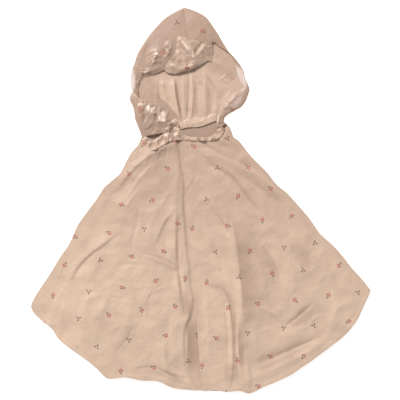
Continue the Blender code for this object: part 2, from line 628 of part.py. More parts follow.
if __name__ == "__main__":
    main()
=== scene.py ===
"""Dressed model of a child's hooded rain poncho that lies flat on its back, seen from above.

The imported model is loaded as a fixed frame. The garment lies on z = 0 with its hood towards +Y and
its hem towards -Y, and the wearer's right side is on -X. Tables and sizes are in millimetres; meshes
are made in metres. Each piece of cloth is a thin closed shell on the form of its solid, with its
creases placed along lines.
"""
import logging
import math
from dataclasses import dataclass, field
from enum import Enum

import bpy
import numpy as np
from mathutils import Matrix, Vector


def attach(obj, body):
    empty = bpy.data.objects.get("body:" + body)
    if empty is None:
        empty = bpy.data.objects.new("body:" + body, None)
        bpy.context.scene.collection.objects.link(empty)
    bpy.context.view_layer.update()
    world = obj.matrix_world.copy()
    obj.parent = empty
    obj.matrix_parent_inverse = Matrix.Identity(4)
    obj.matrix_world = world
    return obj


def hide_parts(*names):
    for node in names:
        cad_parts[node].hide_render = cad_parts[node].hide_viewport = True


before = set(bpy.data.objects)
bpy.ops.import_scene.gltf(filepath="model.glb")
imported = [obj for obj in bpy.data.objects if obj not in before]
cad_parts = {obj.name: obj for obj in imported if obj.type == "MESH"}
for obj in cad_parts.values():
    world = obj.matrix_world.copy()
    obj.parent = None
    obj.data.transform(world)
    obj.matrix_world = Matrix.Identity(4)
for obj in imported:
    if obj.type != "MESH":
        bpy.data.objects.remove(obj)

LOG = logging.getLogger("poncho")
MILLIMETRE = 0.001
Point = tuple[float, float]
Path2D = tuple[Point, ...]
Rows = tuple[tuple[float, ...], ...]
Colour = tuple[float, float, float, float]

# Sizes as in the part's source: wall, gaps and studs, heights of the middle of the walls, and air
CLOTH = 1.0
SEAM_GAP = 0.3
PLAY = 0.1
UNDERLAP_WIDTH = 44.0
STUD_THICKNESS = 1.2
FLAT_HEIGHT = CLOTH / 2
FRONT_LOWEST = CLOTH + SEAM_GAP + CLOTH / 2 + PLAY
UNDERLAP_HEIGHT = FRONT_LOWEST + PLAY
OVERLAP_HEIGHT = UNDERLAP_HEIGHT + CLOTH + STUD_THICKNESS + 2 * SEAM_GAP + 2 * PLAY
FRONT_LOFT = 5.0
PLACKET_LOFT = 3.1
NECK_LOFT = 0.6

SHELL = 0.4                  # thickness of the shown cloth
LOWEST = 0.02                # least height of any point of the cloth
FOLD_ANGLE = 62.0            # edges bent more than this many degrees are shown sharp
CURVE_STEPS = 12             # points read from a curve between two of its knots
HEM_POINTS = 160             # points along each half of the hem
PLACKET_POINTS = 120         # points along the placket's edge
CREASE_POINTS = 30           # points along each crease
CREASE_REACH = 3.0           # half widths past which a crease is flat
CREASE_ENDS = (-0.15, 0.3)   # shares of its length over which a crease rises and fades
SHARP_FALL = 1.3             # how fast a sharp crease falls away from its line
SOFT_POWER = 1.5             # rounds the crest of a soft crease
LATTICE = 64                 # cells after which an irregular relief repeats
RELIEF_GAIN = 1.6            # brings an irregular relief to about -1 to 1
RIDGE_FALL = 2.6             # how steeply a ridged relief falls away from its crests
CREST_ROUNDING = 0.0015      # rounds those crests
PATCH_FADE = (0.6, 1.15)     # shares of a patch's radius between which it fades
# Masks that each mesh carries: painted shade, pale painted light, glossiness with painted highlights, and
# the coated side.
MASKS = ("painted_shade", "pale", "gloss_and_highlight", "inside")
STUDS = ("press_stud_1", "press_stud_2", "press_stud_3")


class Profile(Enum):
    """Shape of a crease across its line."""

    SOFT = "soft"
    SHARP = "sharp"


class Relief(Enum):
    """Character of an irregular relief."""

    ROLLING = "rolling"
    RIDGED = "ridged"


class Held(Enum):
    LAID = "laid"
    FOLDED = "folded"
    GATHERED = "gathered"


def soft_step(value: np.ndarray, low: float, high: float) -> np.ndarray:
    """Rise smoothly from 0 at low to 1 at high.

    Args:
        value: The numbers to read.
        low: Where the rise starts.
        high: Where it ends.

    Returns:
        A share from 0 to 1 for each value.
    """
    share = np.clip((value - low) / (high - low), 0.0, 1.0)
    return share * share * (3 - 2 * share)


def even_shares(count: int) -> np.ndarray:
    """Return count numbers, evenly spaced from 0 to 1."""
    return np.linspace(0.0, 1.0, count)


def turned_axes(x: object, y: object, angle: float) -> tuple:
    """Return x and y as read along axes that are turned by an angle in degrees."""
    c, s = math.cos(math.radians(angle)), math.sin(math.radians(angle))
    return x * c + y * s, y * c - x * s


def respace(points: np.ndarray, count: int) -> np.ndarray:
    """Space points evenly by length along a polyline.

    Args:
        points: The polyline, one point a row.
        count: How many points to return.

    Returns:
        The points, with as many columns as the polyline has.
    """
    points = np.asarray(points, dtype=float)
    lengths = np.concatenate([[0.0], np.cumsum(np.linalg.norm(np.diff(points, axis=0), axis=1))])
    wanted = np.linspace(0.0, lengths[-1], count)
    return np.column_stack([np.interp(wanted, lengths, column) for column in points.T])


def smooth_curve(knots: Path2D | np.ndarray, count: int) -> np.ndarray:
    """Read points, evenly spaced by length, from a smooth curve through knots.

    Args:
        knots: Points that the curve passes through.
        count: How many points to return.

    Returns:
        The points, one a row.
    """
    knots = np.array(knots, dtype=float)
    padded = np.vstack([2 * knots[0] - knots[1], knots, 2 * knots[-1] - knots[-2]])
    t = np.linspace(0.0, 1.0, CURVE_STEPS, endpoint=False)[:, None]
    spans = []
    for before, start, end, after in zip(padded, padded[1:], padded[2:], padded[3:]):
        spans.append(0.5 * (2 * start + (end - before) * t
                            + (2 * before - 5 * start + 4 * end - after) * t ** 2
                            + (3 * start - before - 3 * end + after) * t ** 3))
    spans.append(knots[-1:])
    return respace(np.vstack(spans), count)


def spread(top: np.ndarray, bottom: np.ndarray, start: Path2D, end: Path2D, rows: int) -> np.ndarray:
    """Fill the space between four edges.

    Args:
        top: Points of the first row.
        bottom: Points of the last row.
        start: Knots of the first column.
        end: Knots of the last column.
        rows: How many rows to return.

    Returns:
        Points by row and column.
    """
    start, end = smooth_curve(start, rows), smooth_curve(end, rows)
    down = even_shares(rows)[:, None, None]
    across = even_shares(len(top))[None, :, None]
    corners = ((1 - down) * (1 - across) * top[0] + (1 - down) * across * top[-1]
               + down * (1 - across) * bottom[0] + down * across * bottom[-1])
    return ((1 - down) * top[None] + down * bottom[None]
            + (1 - across) * start[:, None] + across * end[:, None] - corners)


def with_heights(places: np.ndarray, heights: np.ndarray) -> np.ndarray:
    """Join an array of x, y with an array of heights."""
    return np.concatenate([places, heights[..., None]], axis=-1)


@dataclass(frozen=True)
class Crease:
    """A ridge, or a trough if its height is negative, along a given line.

    Attributes:
        path: Points of the line, from the neck end.
        left: Half width on the left hand of someone who walks the line.
        right: Half width on the right hand.
        height: Height of the ridge.
        profile: Soft and round, or sharp like a pressed fold.
    """

    path: Path2D
    left: float
    right: float
    height: float
    profile: Profile = Profile.SOFT

    def heights(self, places: np.ndarray) -> np.ndarray:
        """Work out the crease's height.

        Args:
            places: An array of x, y.

        Returns:
            The crease's height at each of them.
        """
        path = smooth_curve(self.path, CREASE_POINTS)
        reach = CREASE_REACH * max(self.left, self.right)
        near = ((places > path.min(0) - reach) & (places < path.max(0) + reach)).all(-1)
        result = np.zeros(places.shape[:-1])
        if not near.any():
            return result
        starts, steps = path[:-1], np.diff(path, axis=0)
        offsets = places[near][:, None, :] - starts
        along = np.clip((offsets * steps).sum(-1) / (steps ** 2).sum(-1), 0.0, 1.0)
        away = offsets - along[..., None] * steps
        distance = np.linalg.norm(away, axis=-1)
        rows = np.arange(len(distance))
        nearest = distance.argmin(-1)
        away, step = away[rows, nearest], steps[nearest]
        side = step[:, 0] * away[:, 1] - step[:, 1] * away[:, 0]
        share = (nearest + along[rows, nearest]) / len(steps)
        reached = distance[rows, nearest] / np.where(side > 0, self.left, self.right)
        ends = soft_step(share, *CREASE_ENDS) * soft_step(1 - share, *CREASE_ENDS)
        sharp = self.profile is Profile.SHARP
        shape = np.exp(-reached * SHARP_FALL if sharp else -reached ** SOFT_POWER)
        result[near] = self.height * ends * shape
        return result


Creases = tuple[Crease, ...]


def ridges(*rows: tuple, profile: Profile = Profile.SOFT) -> Creases:
    """Make creases from rows of a table.

    Args:
        rows: Half width on the left and on the right hand, height, then the line's points.
        profile: Their shape across the line.

    Returns:
        The creases.
    """
    return tuple(Crease(row[3:], *row[:3], profile) for row in rows)


def crease_heights(places: np.ndarray, creases: Creases) -> np.ndarray:
    """Sum the heights of creases at each place of an array of x, y."""
    return sum((crease.heights(places) for crease in creases), np.zeros(places.shape[:-1]))


@dataclass(frozen=True)
class Crumple:
    """Irregular relief of cloth that was packed small, the same on each run.

    Attributes:
        cell: Size of one swell.
        height: How high it stands at most.
        seed: Chooses the pattern.
        relief: Rolling, or ridged with narrow crests.
        angle: Turns the pattern, in degrees.
    """

    cell: float
    height: float
    seed: int
    relief: Relief = Relief.ROLLING
    angle: float = 31.0

    def heights(self, places: np.ndarray) -> np.ndarray:
        """Work out the relief's height.

        Args:
            places: An array of x, y.

        Returns:
            The relief's height at each of them.
        """
        turns = np.random.default_rng(self.seed).random((LATTICE, LATTICE)) * 2 * np.pi
        lattice = np.stack([np.cos(turns), np.sin(turns)], axis=-1)
        turned = turned_axes(places[..., 0], places[..., 1], -self.angle)
        x, y = (part / self.cell for part in turned)
        column, row = np.floor(x).astype(int), np.floor(y).astype(int)
        x, y = x - column, y - row
        blend_x, blend_y = (part ** 3 * (part * (6 * part - 15) + 10) for part in (x, y))
        corners = []
        for down in (0, 1):
            for across in (0, 1):
                slope = lattice[(row + down) % LATTICE, (column + across) % LATTICE]
                corners.append(slope[..., 0] * (x - across) + slope[..., 1] * (y - down))
        near = corners[0] * (1 - blend_x) + corners[1] * blend_x
        far = corners[2] * (1 - blend_x) + corners[3] * blend_x
        value = (near * (1 - blend_y) + far * blend_y) * RELIEF_GAIN
        if self.relief is Relief.RIDGED:
            value = 1 - RIDGE_FALL * np.sqrt(value ** 2 + CREST_ROUNDING)
        return self.height * value


Crumples = tuple[Crumple, ...]


def crumple_heights(places: np.ndarray, crumples: Crumples) -> np.ndarray:
    """Sum the heights of several irregular reliefs."""
    return sum(crumple.heights(places) for crumple in crumples)


@dataclass(frozen=True)
class Patch:
    """A soft oval patch on the cloth, for a mask.

    Attributes:
        centre: Its middle.
        radii: Half width along its own long and short direction.
        angle: Direction of its long side, in degrees.
        strength: How strong the mask is in the middle.
    """

    centre: Point
    radii: Point
    angle: float = 0.0
    strength: float = 1.0

    def mask(self, places: np.ndarray) -> np.ndarray:
        """Work out how much of the patch shows.

        Args:
            places: An array of x, y.

        Returns:
            The patch's share at each of them.
        """
        along, across = turned_axes(*(places[..., axis] - self.centre[axis] for axis in (0, 1)), self.angle)
        far = np.hypot(along / self.radii[0], across / self.radii[1])
        return self.strength * (1 - soft_step(far, *PATCH_FADE))


Patches = tuple[Patch, ...]


def patches(*rows: tuple[float, ...]) -> Patches:
    """Make patches from rows of x, y, the two half widths and, if given, angle and strength."""
    return tuple(Patch(row[:2], row[2:4], *row[4:]) for row in rows)


def patch_mask(places: np.ndarray, spots: Patches) -> np.ndarray:
    """Join several patches into one mask, from 0 to 1.

    Args:
        places: An array of x, y.
        spots: The patches.

    Returns:
        The mask's share at each of them.
    """
    mask = np.zeros(places.shape[:-1])
    for spot in spots:
        mask = np.maximum(mask, spot.mask(places))
    return mask


@dataclass
class HeightMap:
    """The highest point of what lies under a piece, in square cells.

    Attributes:
        cell: Size of a cell.
        half: Half the side of the square that is covered.
        reach: How many cells round a place are looked at.
        finer: Into how many parts a step of a laid grid is cut.
    """

    cell: float = 1.0
    half: float = 520.0
    reach: int = 2
    finer: int = 3
    tops: np.ndarray = field(init=False)

    def __post_init__(self) -> None:
        """Start with an empty surface."""
        count = int(2 * self.half / self.cell)
        self.tops = np.zeros((count, count))

    def cells(self, places: np.ndarray) -> tuple[np.ndarray, np.ndarray]:
        """Return the row and column of each place."""
        spots = np.clip(((places + self.half) / self.cell).astype(int), 0, len(self.tops) - 1)
        return spots[..., 1], spots[..., 0]

    def add(self, points: np.ndarray) -> None:
        """Lay a grid of points on the map, with more points between them.

        Args:
            points: The middle points of a piece, by row and column.
        """
        for axis in (0, 1):
            count = points.shape[axis]
            spots = np.linspace(0, count - 1, (count - 1) * self.finer + 1)
            low = np.minimum(spots.astype(int), count - 2)
            shape = [1, 1, 1]
            shape[axis] = len(spots)
            share = (spots - low).reshape(shape)
            points = np.take(points, low, axis) * (1 - share) + np.take(points, low + 1, axis) * share
        np.maximum.at(self.tops, self.cells(points[..., :2]), points[..., 2])

    def under(self, places: np.ndarray) -> np.ndarray:
        """Find the highest point near each place.

        Args:
            places: x, y by row and column.

        Returns:
            The greatest height within reach of each.
        """
        rows, columns = self.cells(places)
        highest = np.zeros(places.shape[:-1])
        for down in range(-self.reach, self.reach + 1):
            for across in range(-self.reach, self.reach + 1):
                highest = np.maximum(highest, self.tops[rows + down, columns + across])
        return highest


def smoothed(heights: np.ndarray, rounds: int) -> np.ndarray:
    """Even out an array of heights a little, keeping its edges.

    Args:
        heights: Heights by row and column.
        rounds: How often each height is drawn to the mean of its neighbours.

    Returns:
        The evened heights.
    """
    for _ in range(rounds):
        inner = (heights[:-2, 1:-1] + heights[2:, 1:-1] + heights[1:-1, :-2] + heights[1:-1, 2:]) / 4
        heights = heights.copy()
        heights[1:-1, 1:-1] = 0.5 * heights[1:-1, 1:-1] + 0.5 * inner
    return heights


class Wires:
    """Adds nodes to one material and joins them."""

    def __init__(self, name: str) -> None:
        """Make an empty node material with this name.

        Args:
            name: Name of the material.
        """
        self.material = bpy.data.materials.new(name)
        self.material.use_nodes = True
        self.tree = self.material.node_tree
        self.inputs = self.tree.nodes["Principled BSDF"].inputs

    def node(self, kind: str, **settings: object) -> bpy.types.Node:
        """Add a node and set its properties.

        Args:
            kind: Type of the node, without its prefix.
            settings: Its properties by name.

        Returns:
            The new node.
        """
        made = self.tree.nodes.new(f"ShaderNode{kind}")
        for name, value in settings.items():
            setattr(made, name, value)
        return made

    def join(self, source: object, target: bpy.types.NodeSocket) -> None:
        """Feed a socket from a signal, a socket or a number.

        Args:
            source: What feeds the socket.
            target: The socket.
        """
        source = source.socket if isinstance(source, Signal) else source
        if isinstance(source, bpy.types.NodeSocket):
            self.tree.links.new(source, target)
        else:
            target.default_value = source

    def feed(self, made: bpy.types.Node, sources: dict[str | int, object]) -> None:
        """Feed several inputs of a node by name or number."""
        for name, source in sources.items():
            self.join(source, made.inputs[name])

    def math(self, operation: str, *inputs: object) -> "Signal":
        """Add a Math node and return what comes out of it.

        Args:
            operation: What it works out.
            inputs: Signals or numbers.

        Returns:
            The signal that comes out.
        """
        made = self.node("Math", operation=operation)
        self.feed(made, dict(enumerate(inputs)))
        return Signal(self, made.outputs[0])

    def step(self, value: "Signal", low: float, high: float) -> "Signal":
        """Return a signal that goes smoothly from 0 at low to 1 at high.

        Args:
            value: The signal to read.
            low: Where the rise starts.
            high: Where it ends.

        Returns:
            The signal that comes out.
        """
        made = self.node("MapRange", interpolation_type="SMOOTHSTEP")
        self.feed(made, dict(enumerate((value, low, high, 0.0, 1.0))))
        return Signal(self, made.outputs[0])

    def mask(self, name: str) -> "Signal":
        """Return a mask that the mesh carries under this name."""
        made = self.node("Attribute", attribute_name=name, attribute_type="GEOMETRY")
        return Signal(self, made.outputs["Fac"])

    def noise(self, place: object, scale: float, detail: float = 2.0) -> "Signal":
        """Return noise from 0 to 1 with this many swells a metre.

        Args:
            place: Where on the object.
            scale: Swells a metre.
            detail: How many finer layers it has.

        Returns:
            The signal that comes out.
        """
        made = self.node("TexNoise")
        self.feed(made, {"Vector": place, "Scale": scale, "Detail": detail})
        return Signal(self, made.outputs["Fac"])

    def blend(self, share: object, first: object, second: object) -> "Signal":
        """Mix two colours.

        Args:
            share: How much of the second colour shows.
            first: The colour at 0.
            second: The colour at 1.

        Returns:
            The mixed colour.
        """
        made = self.node("Mix", data_type="RGBA")
        self.feed(made, {"Factor": share, "A": first, "B": second})
        return Signal(self, made.outputs["Result"])

    def object_place(self) -> "Signal":
        """Return the place on the object, in metres."""
        return Signal(self, self.node("TexCoord").outputs["Object"])

    def print_place(self) -> tuple["Signal", "Signal"]:
        """Return x and y on the flat cut of the cloth, in millimetres.

        Returns:
            The two signals.
        """
        parts = self.node("SeparateXYZ")
        self.join(self.node("UVMap", uv_map="cut").outputs[0], parts.inputs[0])
        return Signal(self, parts.outputs[0]) / MILLIMETRE, Signal(self, parts.outputs[1]) / MILLIMETRE

    def bump(self, height: "Signal", depth: float, below: "Signal | None" = None) -> "Signal":
        """Turn a height from 0 to 1 into relief of a depth in metres.

        Args:
            height: The relief's shape.
            depth: Its depth.
            below: A coarser relief that it lies on.

        Returns:
            The normal.
        """
        made = self.node("Bump")
        self.feed(made, {"Strength": 1.0, "Distance": depth, "Height": height})
        if below is not None:
            self.join(below, made.inputs["Normal"])
        return Signal(self, made.outputs["Normal"])


@dataclass(frozen=True)
class Signal:
    """A number that flows between nodes; arithmetic on it adds Math nodes."""

    wires: Wires
    socket: bpy.types.NodeSocket

    def __add__(self, other: object) -> "Signal":
        """Add."""
        return self.wires.math("ADD", self, other)

    def __sub__(self, other: object) -> "Signal":
        """Subtract."""
        return self.wires.math("SUBTRACT", self, other)

    def __mul__(self, other: object) -> "Signal":
        """Multiply."""
        return self.wires.math("MULTIPLY", self, other)

    def __truediv__(self, other: object) -> "Signal":
        """Divide."""
        return self.wires.math("DIVIDE", self, other)

    def inverse(self) -> "Signal":
        """Return 1 minus this share."""
        return self.wires.math("SUBTRACT", 1.0, self)


def tint(red: int, green: int, blue: int) -> Colour:
    """Turn a colour of 0 to 255, as seen on a screen, into a linear one."""
    shares = (part / 255 for part in (red, green, blue))
    return (*(part / 12.92 if part <= 0.04045 else ((part + 0.055) / 1.055) ** 2.4 for part in shares), 1.0)


@dataclass(frozen=True)
class BerrySprigs:
    """A small all-over print: three round berries on a stalk with a leaf, in a half-drop repeat.

    Attributes:
        across: Distance between columns of sprigs.
        along: Distance between sprigs in a column.
        lean: Turns the whole repeat, in degrees.
        jitter: How far a sprig strays from its place.
        red: Colour of the berries.
        green: Colour of leaf and stalk.
        brown: Colour of the sprigs that are leaves only.
        leafy: Share of sprigs that are leaves only.
        choice: Weights of the random numbers that choose these.
        edge: Where an oval starts and where it is full, as squares of its reach.
        ink: How strongly the print covers the cloth.
        stalk_ink: How strongly the stalks do.
        berries: Ovals of the berries: middle, half widths and angle.
        stalks: Ovals of two thin stalks and the leaf where they meet.
        leaves: Ovals of a sprig with three small leaves.
    """

    across: float = 71.0
    along: float = 75.0
    lean: float = -21.0
    jitter: float = 11.0
    red: Colour = tint(184, 98, 92)
    green: Colour = tint(122, 104, 84)
    brown: Colour = tint(128, 98, 84)
    leafy: float = 0.3
    choice: Point = (7.0, 5.0)
    edge: Point = (1.25, 0.75)
    ink: float = 0.9
    stalk_ink: float = 0.72
    berries: Rows = ((0.4, -4.3, 2.0, 2.0, 0.0), (-2.9, -0.6, 2.35, 2.35, 0.0), (3.0, 0.1, 2.35, 2.35, 0.0))
    stalks: Rows = ((-1.6, 2.4, 3.8, 0.8, 68.0), (1.5, 2.9, 3.6, 0.8, 118.0), (-2.2, 6.2, 3.2, 1.8, 24.0))
    leaves: Rows = ((0.0, 3.6, 3.0, 1.9, 90.0), (-3.6, -1.9, 2.9, 1.7, 30.0), (3.6, -1.8, 2.9, 1.7, 150.0))

    def printed(self, wires: Wires, colour: Signal, fade: Signal) -> Signal:
        """Print the sprigs over a colour.

        Args:
            wires: The material's nodes.
            colour: The cloth's own colour.
            fade: How much of the ink shows, from 0 to 1.

        Returns:
            The printed colour.
        """
        u, v = turned_axes(*wires.print_place(), self.lean)
        u, v = u / self.across, v / self.along
        column = wires.math("FLOOR", u)
        v = v + wires.math("FLOORED_MODULO", column, 2.0) * 0.5
        row = wires.math("FLOOR", v)
        cell = wires.node("CombineXYZ")
        wires.feed(cell, {0: column + 0.5, 1: row + 0.5})
        chance = wires.node("TexWhiteNoise", noise_dimensions="3D")
        wires.feed(chance, {"Vector": cell.outputs[0]})
        parts = wires.node("SeparateColor")
        wires.feed(parts, {0: chance.outputs["Color"]})
        first, second, third = (Signal(wires, out) for out in parts.outputs)
        px = (u - column - 0.5) * self.across + (first - 0.5) * self.jitter
        py = (v - row - 0.5) * self.along + (second - 0.5) * self.jitter
        turn = third * (2 * math.pi)
        cosine, sine = wires.math("COSINE", turn), wires.math("SINE", turn)
        place = px * cosine + py * sine, py * cosine - px * sine
        drawn = wires.math("FRACT", first * self.choice[0] + second * self.choice[1])
        leafy = wires.math("LESS_THAN", drawn, self.leafy)
        for ovals, kind, ink, dye in ((self.stalks, leafy.inverse(), self.stalk_ink, self.green),
                                      (self.berries, leafy.inverse(), self.ink, self.red),
                                      (self.leaves, leafy, self.ink, self.brown)):
            colour = wires.blend(self.shape(wires, place, ovals) * kind * fade * ink, colour, dye)
        return colour

    def shape(self, wires: Wires, place: tuple[Signal, Signal], ovals: Rows) -> Signal:
        """Return the mask of several filled ovals with a soft edge.

        Args:
            wires: The material's nodes.
            place: x and y in the sprig's own millimetres.
            ovals: Rows of middle, half widths and angle.

        Returns:
            The mask, from 0 to 1.
        """
        masks = []
        for x, y, long, short, angle in ovals:
            along, across = turned_axes(place[0] - x, place[1] - y, angle)
            far = wires.math("POWER", along / long, 2.0) + wires.math("POWER", across / short, 2.0)
            masks.append(wires.step(far, *self.edge))
        return wires.math("MAXIMUM", wires.math("MAXIMUM", masks[0], masks[1]), masks[2])


@dataclass(frozen=True)
class CoatedCloth:
    """Thin woven polyester with a satin coating, printed and creased.

    Attributes:
        name: Name of the material.
        colour: The cloth in the light.
        shade: A darker colour, blended in for painted shade and for slow random changes of colour.
        pale: Pale painted light, where a thin single layer lets light through, and painted highlights.
        painted_highlight: Colour of the painted highlights on the coating.
        roughness: Roughness of the coating.
        specular: Its specular level, seen straight on.
        clouds: Slow changes of colour, in swells a metre.
        cloud_limits: Where these start and where they are full.
        cloud_share: How strong they are.
        specks: Small changes of colour and roughness, in swells a metre.
        details: Detail of the noise behind both, and behind the small creases.
        pale_cover: Least cover of the pale painted light, and how much the specks add.
        highlight_spread: How far the specks break up the painted highlights.
        highlight_limits: Where the painted highlight starts and where it is full.
        highlight_gloss: Glossiness at which the painted highlight starts and is full.
        highlight_share: How strong the painted highlight is.
        speck_roughness: How much the specks change the roughness.
        gloss_roughness: How much smoother the glossiest places are.
        crinkle: Depth of the small creases, in metres.
        crinkle_scales: Their two sizes, in swells a metre.
        crinkle_shares: How much of the depth each size has.
        crest_gain: How narrow the crests of the small creases are.
        weave_depth: Depth of the weave, in metres.
        inside_fade: How much of the print is lost on the coated side.
        sprigs: The print on it.
    """

    name: str = "coated_cloth"
    colour: Colour = tint(219, 190, 167)
    shade: Colour = tint(176, 147, 129)
    pale: Colour = tint(222, 203, 193)
    painted_highlight: Colour = tint(238, 214, 196)
    roughness: float = 0.46
    specular: float = 0.42
    clouds: float = 22.0
    cloud_limits: Point = (0.35, 0.75)
    cloud_share: float = 0.25
    specks: float = 150.0
    details: Point = (3.0, 1.5)
    pale_cover: Point = (0.75, 0.4)
    highlight_spread: float = 2.6
    highlight_limits: Point = (0.62, 1.0)
    highlight_gloss: Point = (0.25, 0.6)
    highlight_share: float = 0.6
    speck_roughness: float = 0.12
    gloss_roughness: float = 0.2
    crinkle: float = 0.00028
    crinkle_scales: Point = (34.0, 85.0)
    crinkle_shares: Point = (0.6, 0.4)
    crest_gain: float = 7.0
    weave_depth: float = 0.00003
    inside_fade: float = 0.62
    sprigs: BerrySprigs = BerrySprigs()

    def material(self) -> bpy.types.Material:
        """Make the node material.

        Returns:
            The material, which reads from the mesh the masks of painted shade, of pale painted light, of
            glossiness with painted highlights, and of the coated side.
        """
        wires = Wires(self.name)
        place = wires.object_place()
        painted_shade, pale, gloss_and_highlight, inside = (wires.mask(name) for name in MASKS)
        clouds, small = (wires.noise(place, scale, self.details[0]) for scale in (self.clouds, self.specks))
        # Painted shade: the cloth is blended towards its darker colour by the mesh's shade mask.
        colour = wires.blend(painted_shade, self.colour, self.shade)
        colour = wires.blend(wires.step(clouds, *self.cloud_limits) * self.cloud_share, colour, self.shade)
        colour = self.sprigs.printed(wires, colour, (inside * self.inside_fade).inverse())
        # Pale painted light, where a thin single layer lets light through, and pale painted highlights.
        colour = wires.blend(pale * (small * self.pale_cover[1] + self.pale_cover[0]), colour, self.pale)
        # Painted highlights: spots of a lighter colour where the coating is glossiest.
        highlight_spots = wires.step(gloss_and_highlight + (small - 0.5) * self.highlight_spread, *self.highlight_limits)
        painted_highlight = highlight_spots * wires.step(gloss_and_highlight, *self.highlight_gloss) * self.highlight_share
        colour = wires.blend(painted_highlight, colour, self.painted_highlight)
        large, fine = (self.crests(wires, place, scale) * share
                       for scale, share in zip(self.crinkle_scales, self.crinkle_shares))
        relief = wires.bump(large + fine, self.crinkle)
        wires.inputs["Specular IOR Level"].default_value = self.specular
        wires.join(colour, wires.inputs["Base Color"])
        least = self.roughness - self.speck_roughness / 2
        roughness = small * self.speck_roughness + least - gloss_and_highlight * self.gloss_roughness
        wires.join(roughness, wires.inputs["Roughness"])
        wires.join(wires.bump(self.weave(wires), self.weave_depth, relief), wires.inputs["Normal"])
        return wires.material

    def crests(self, wires: Wires, place: Signal, scale: float) -> Signal:
        """Return narrow wandering crests, from 0 to 1."""
        away = wires.math("ABSOLUTE", wires.noise(place, scale, self.details[1]) - 0.5)
        return wires.math("MINIMUM", away * self.crest_gain, 1.0).inverse()

    def weave(self, wires: Wires) -> Signal:
        """Return the plain weave's threads, two each millimetre both ways."""
        warp, weft = (wires.math("SINE", part * (4 * math.pi)) for part in wires.print_place())
        return warp * weft * 0.5 + 0.5


@dataclass(frozen=True)
class GrainedFinish:
    """A finish with one fine grain that moves its colour, roughness and surface.

    Attributes:
        name: Name of the material.
        colour: Its main colour.
        second: The colour of the grain.
        scale: Size of the grain, in swells a metre.
        limits: Where the second colour starts and where it is full.
        roughness: Least roughness, and how much the grain adds.
        depth: Depth of the grain, in metres.
    """

    name: str
    colour: Colour
    second: Colour
    scale: float
    limits: Point
    roughness: Point
    depth: float

    def material(self) -> bpy.types.Material:
        """Make the node material.

        Returns:
            The material.
        """
        wires = Wires(self.name)
        grain = wires.noise(wires.object_place(), self.scale)
        colour = wires.blend(wires.step(grain, *self.limits), self.colour, self.second)
        wires.join(colour, wires.inputs["Base Color"])
        wires.join(grain * self.roughness[1] + self.roughness[0], wires.inputs["Roughness"])
        wires.join(wires.bump(grain, self.depth), wires.inputs["Normal"])
        return wires.material


MOULDED_PLASTIC = GrainedFinish("moulded_plastic", tint(214, 193, 176), tint(226, 210, 196), 900.0,
                                (0.45, 0.75), (0.30, 0.15), 0.00002)
SEWING_THREAD = GrainedFinish("sewing_thread", tint(206, 176, 153), tint(182, 150, 128), 2600.0,
                              (0.4, 0.7), (0.55, 0.2), 0.00004)


@dataclass
class Finishes:
    """The materials, each made once."""

    cloth: bpy.types.Material = field(default_factory=CoatedCloth().material)
    plastic: bpy.types.Material = field(default_factory=MOULDED_PLASTIC.material)
    thread: bpy.types.Material = field(default_factory=SEWING_THREAD.material)


def add_object(name: str, mesh: bpy.types.Mesh, material: bpy.types.Material) -> bpy.types.Object:
    """Make an object of a mesh and a material, and link it to the scene.

    Args:
        name: Name of the object.
        mesh: Its mesh.
        material: Its only material.

    Returns:
        The new object.
    """
    mesh.materials.append(material)
    made = bpy.data.objects.new(name, mesh)
    bpy.context.scene.collection.objects.link(made)
    return made


def seat(piece: bpy.types.Object, *nodes: str) -> None:
    """Fix a piece of cloth or thread to the garment's one body.

    Args:
        piece: The finished piece.
        nodes: The solids that it stands for.
    """
    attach(piece, "root")
    if nodes:
        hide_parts(*nodes)
    LOG.info("%s: %d faces", piece.name, len(piece.data.polygons))


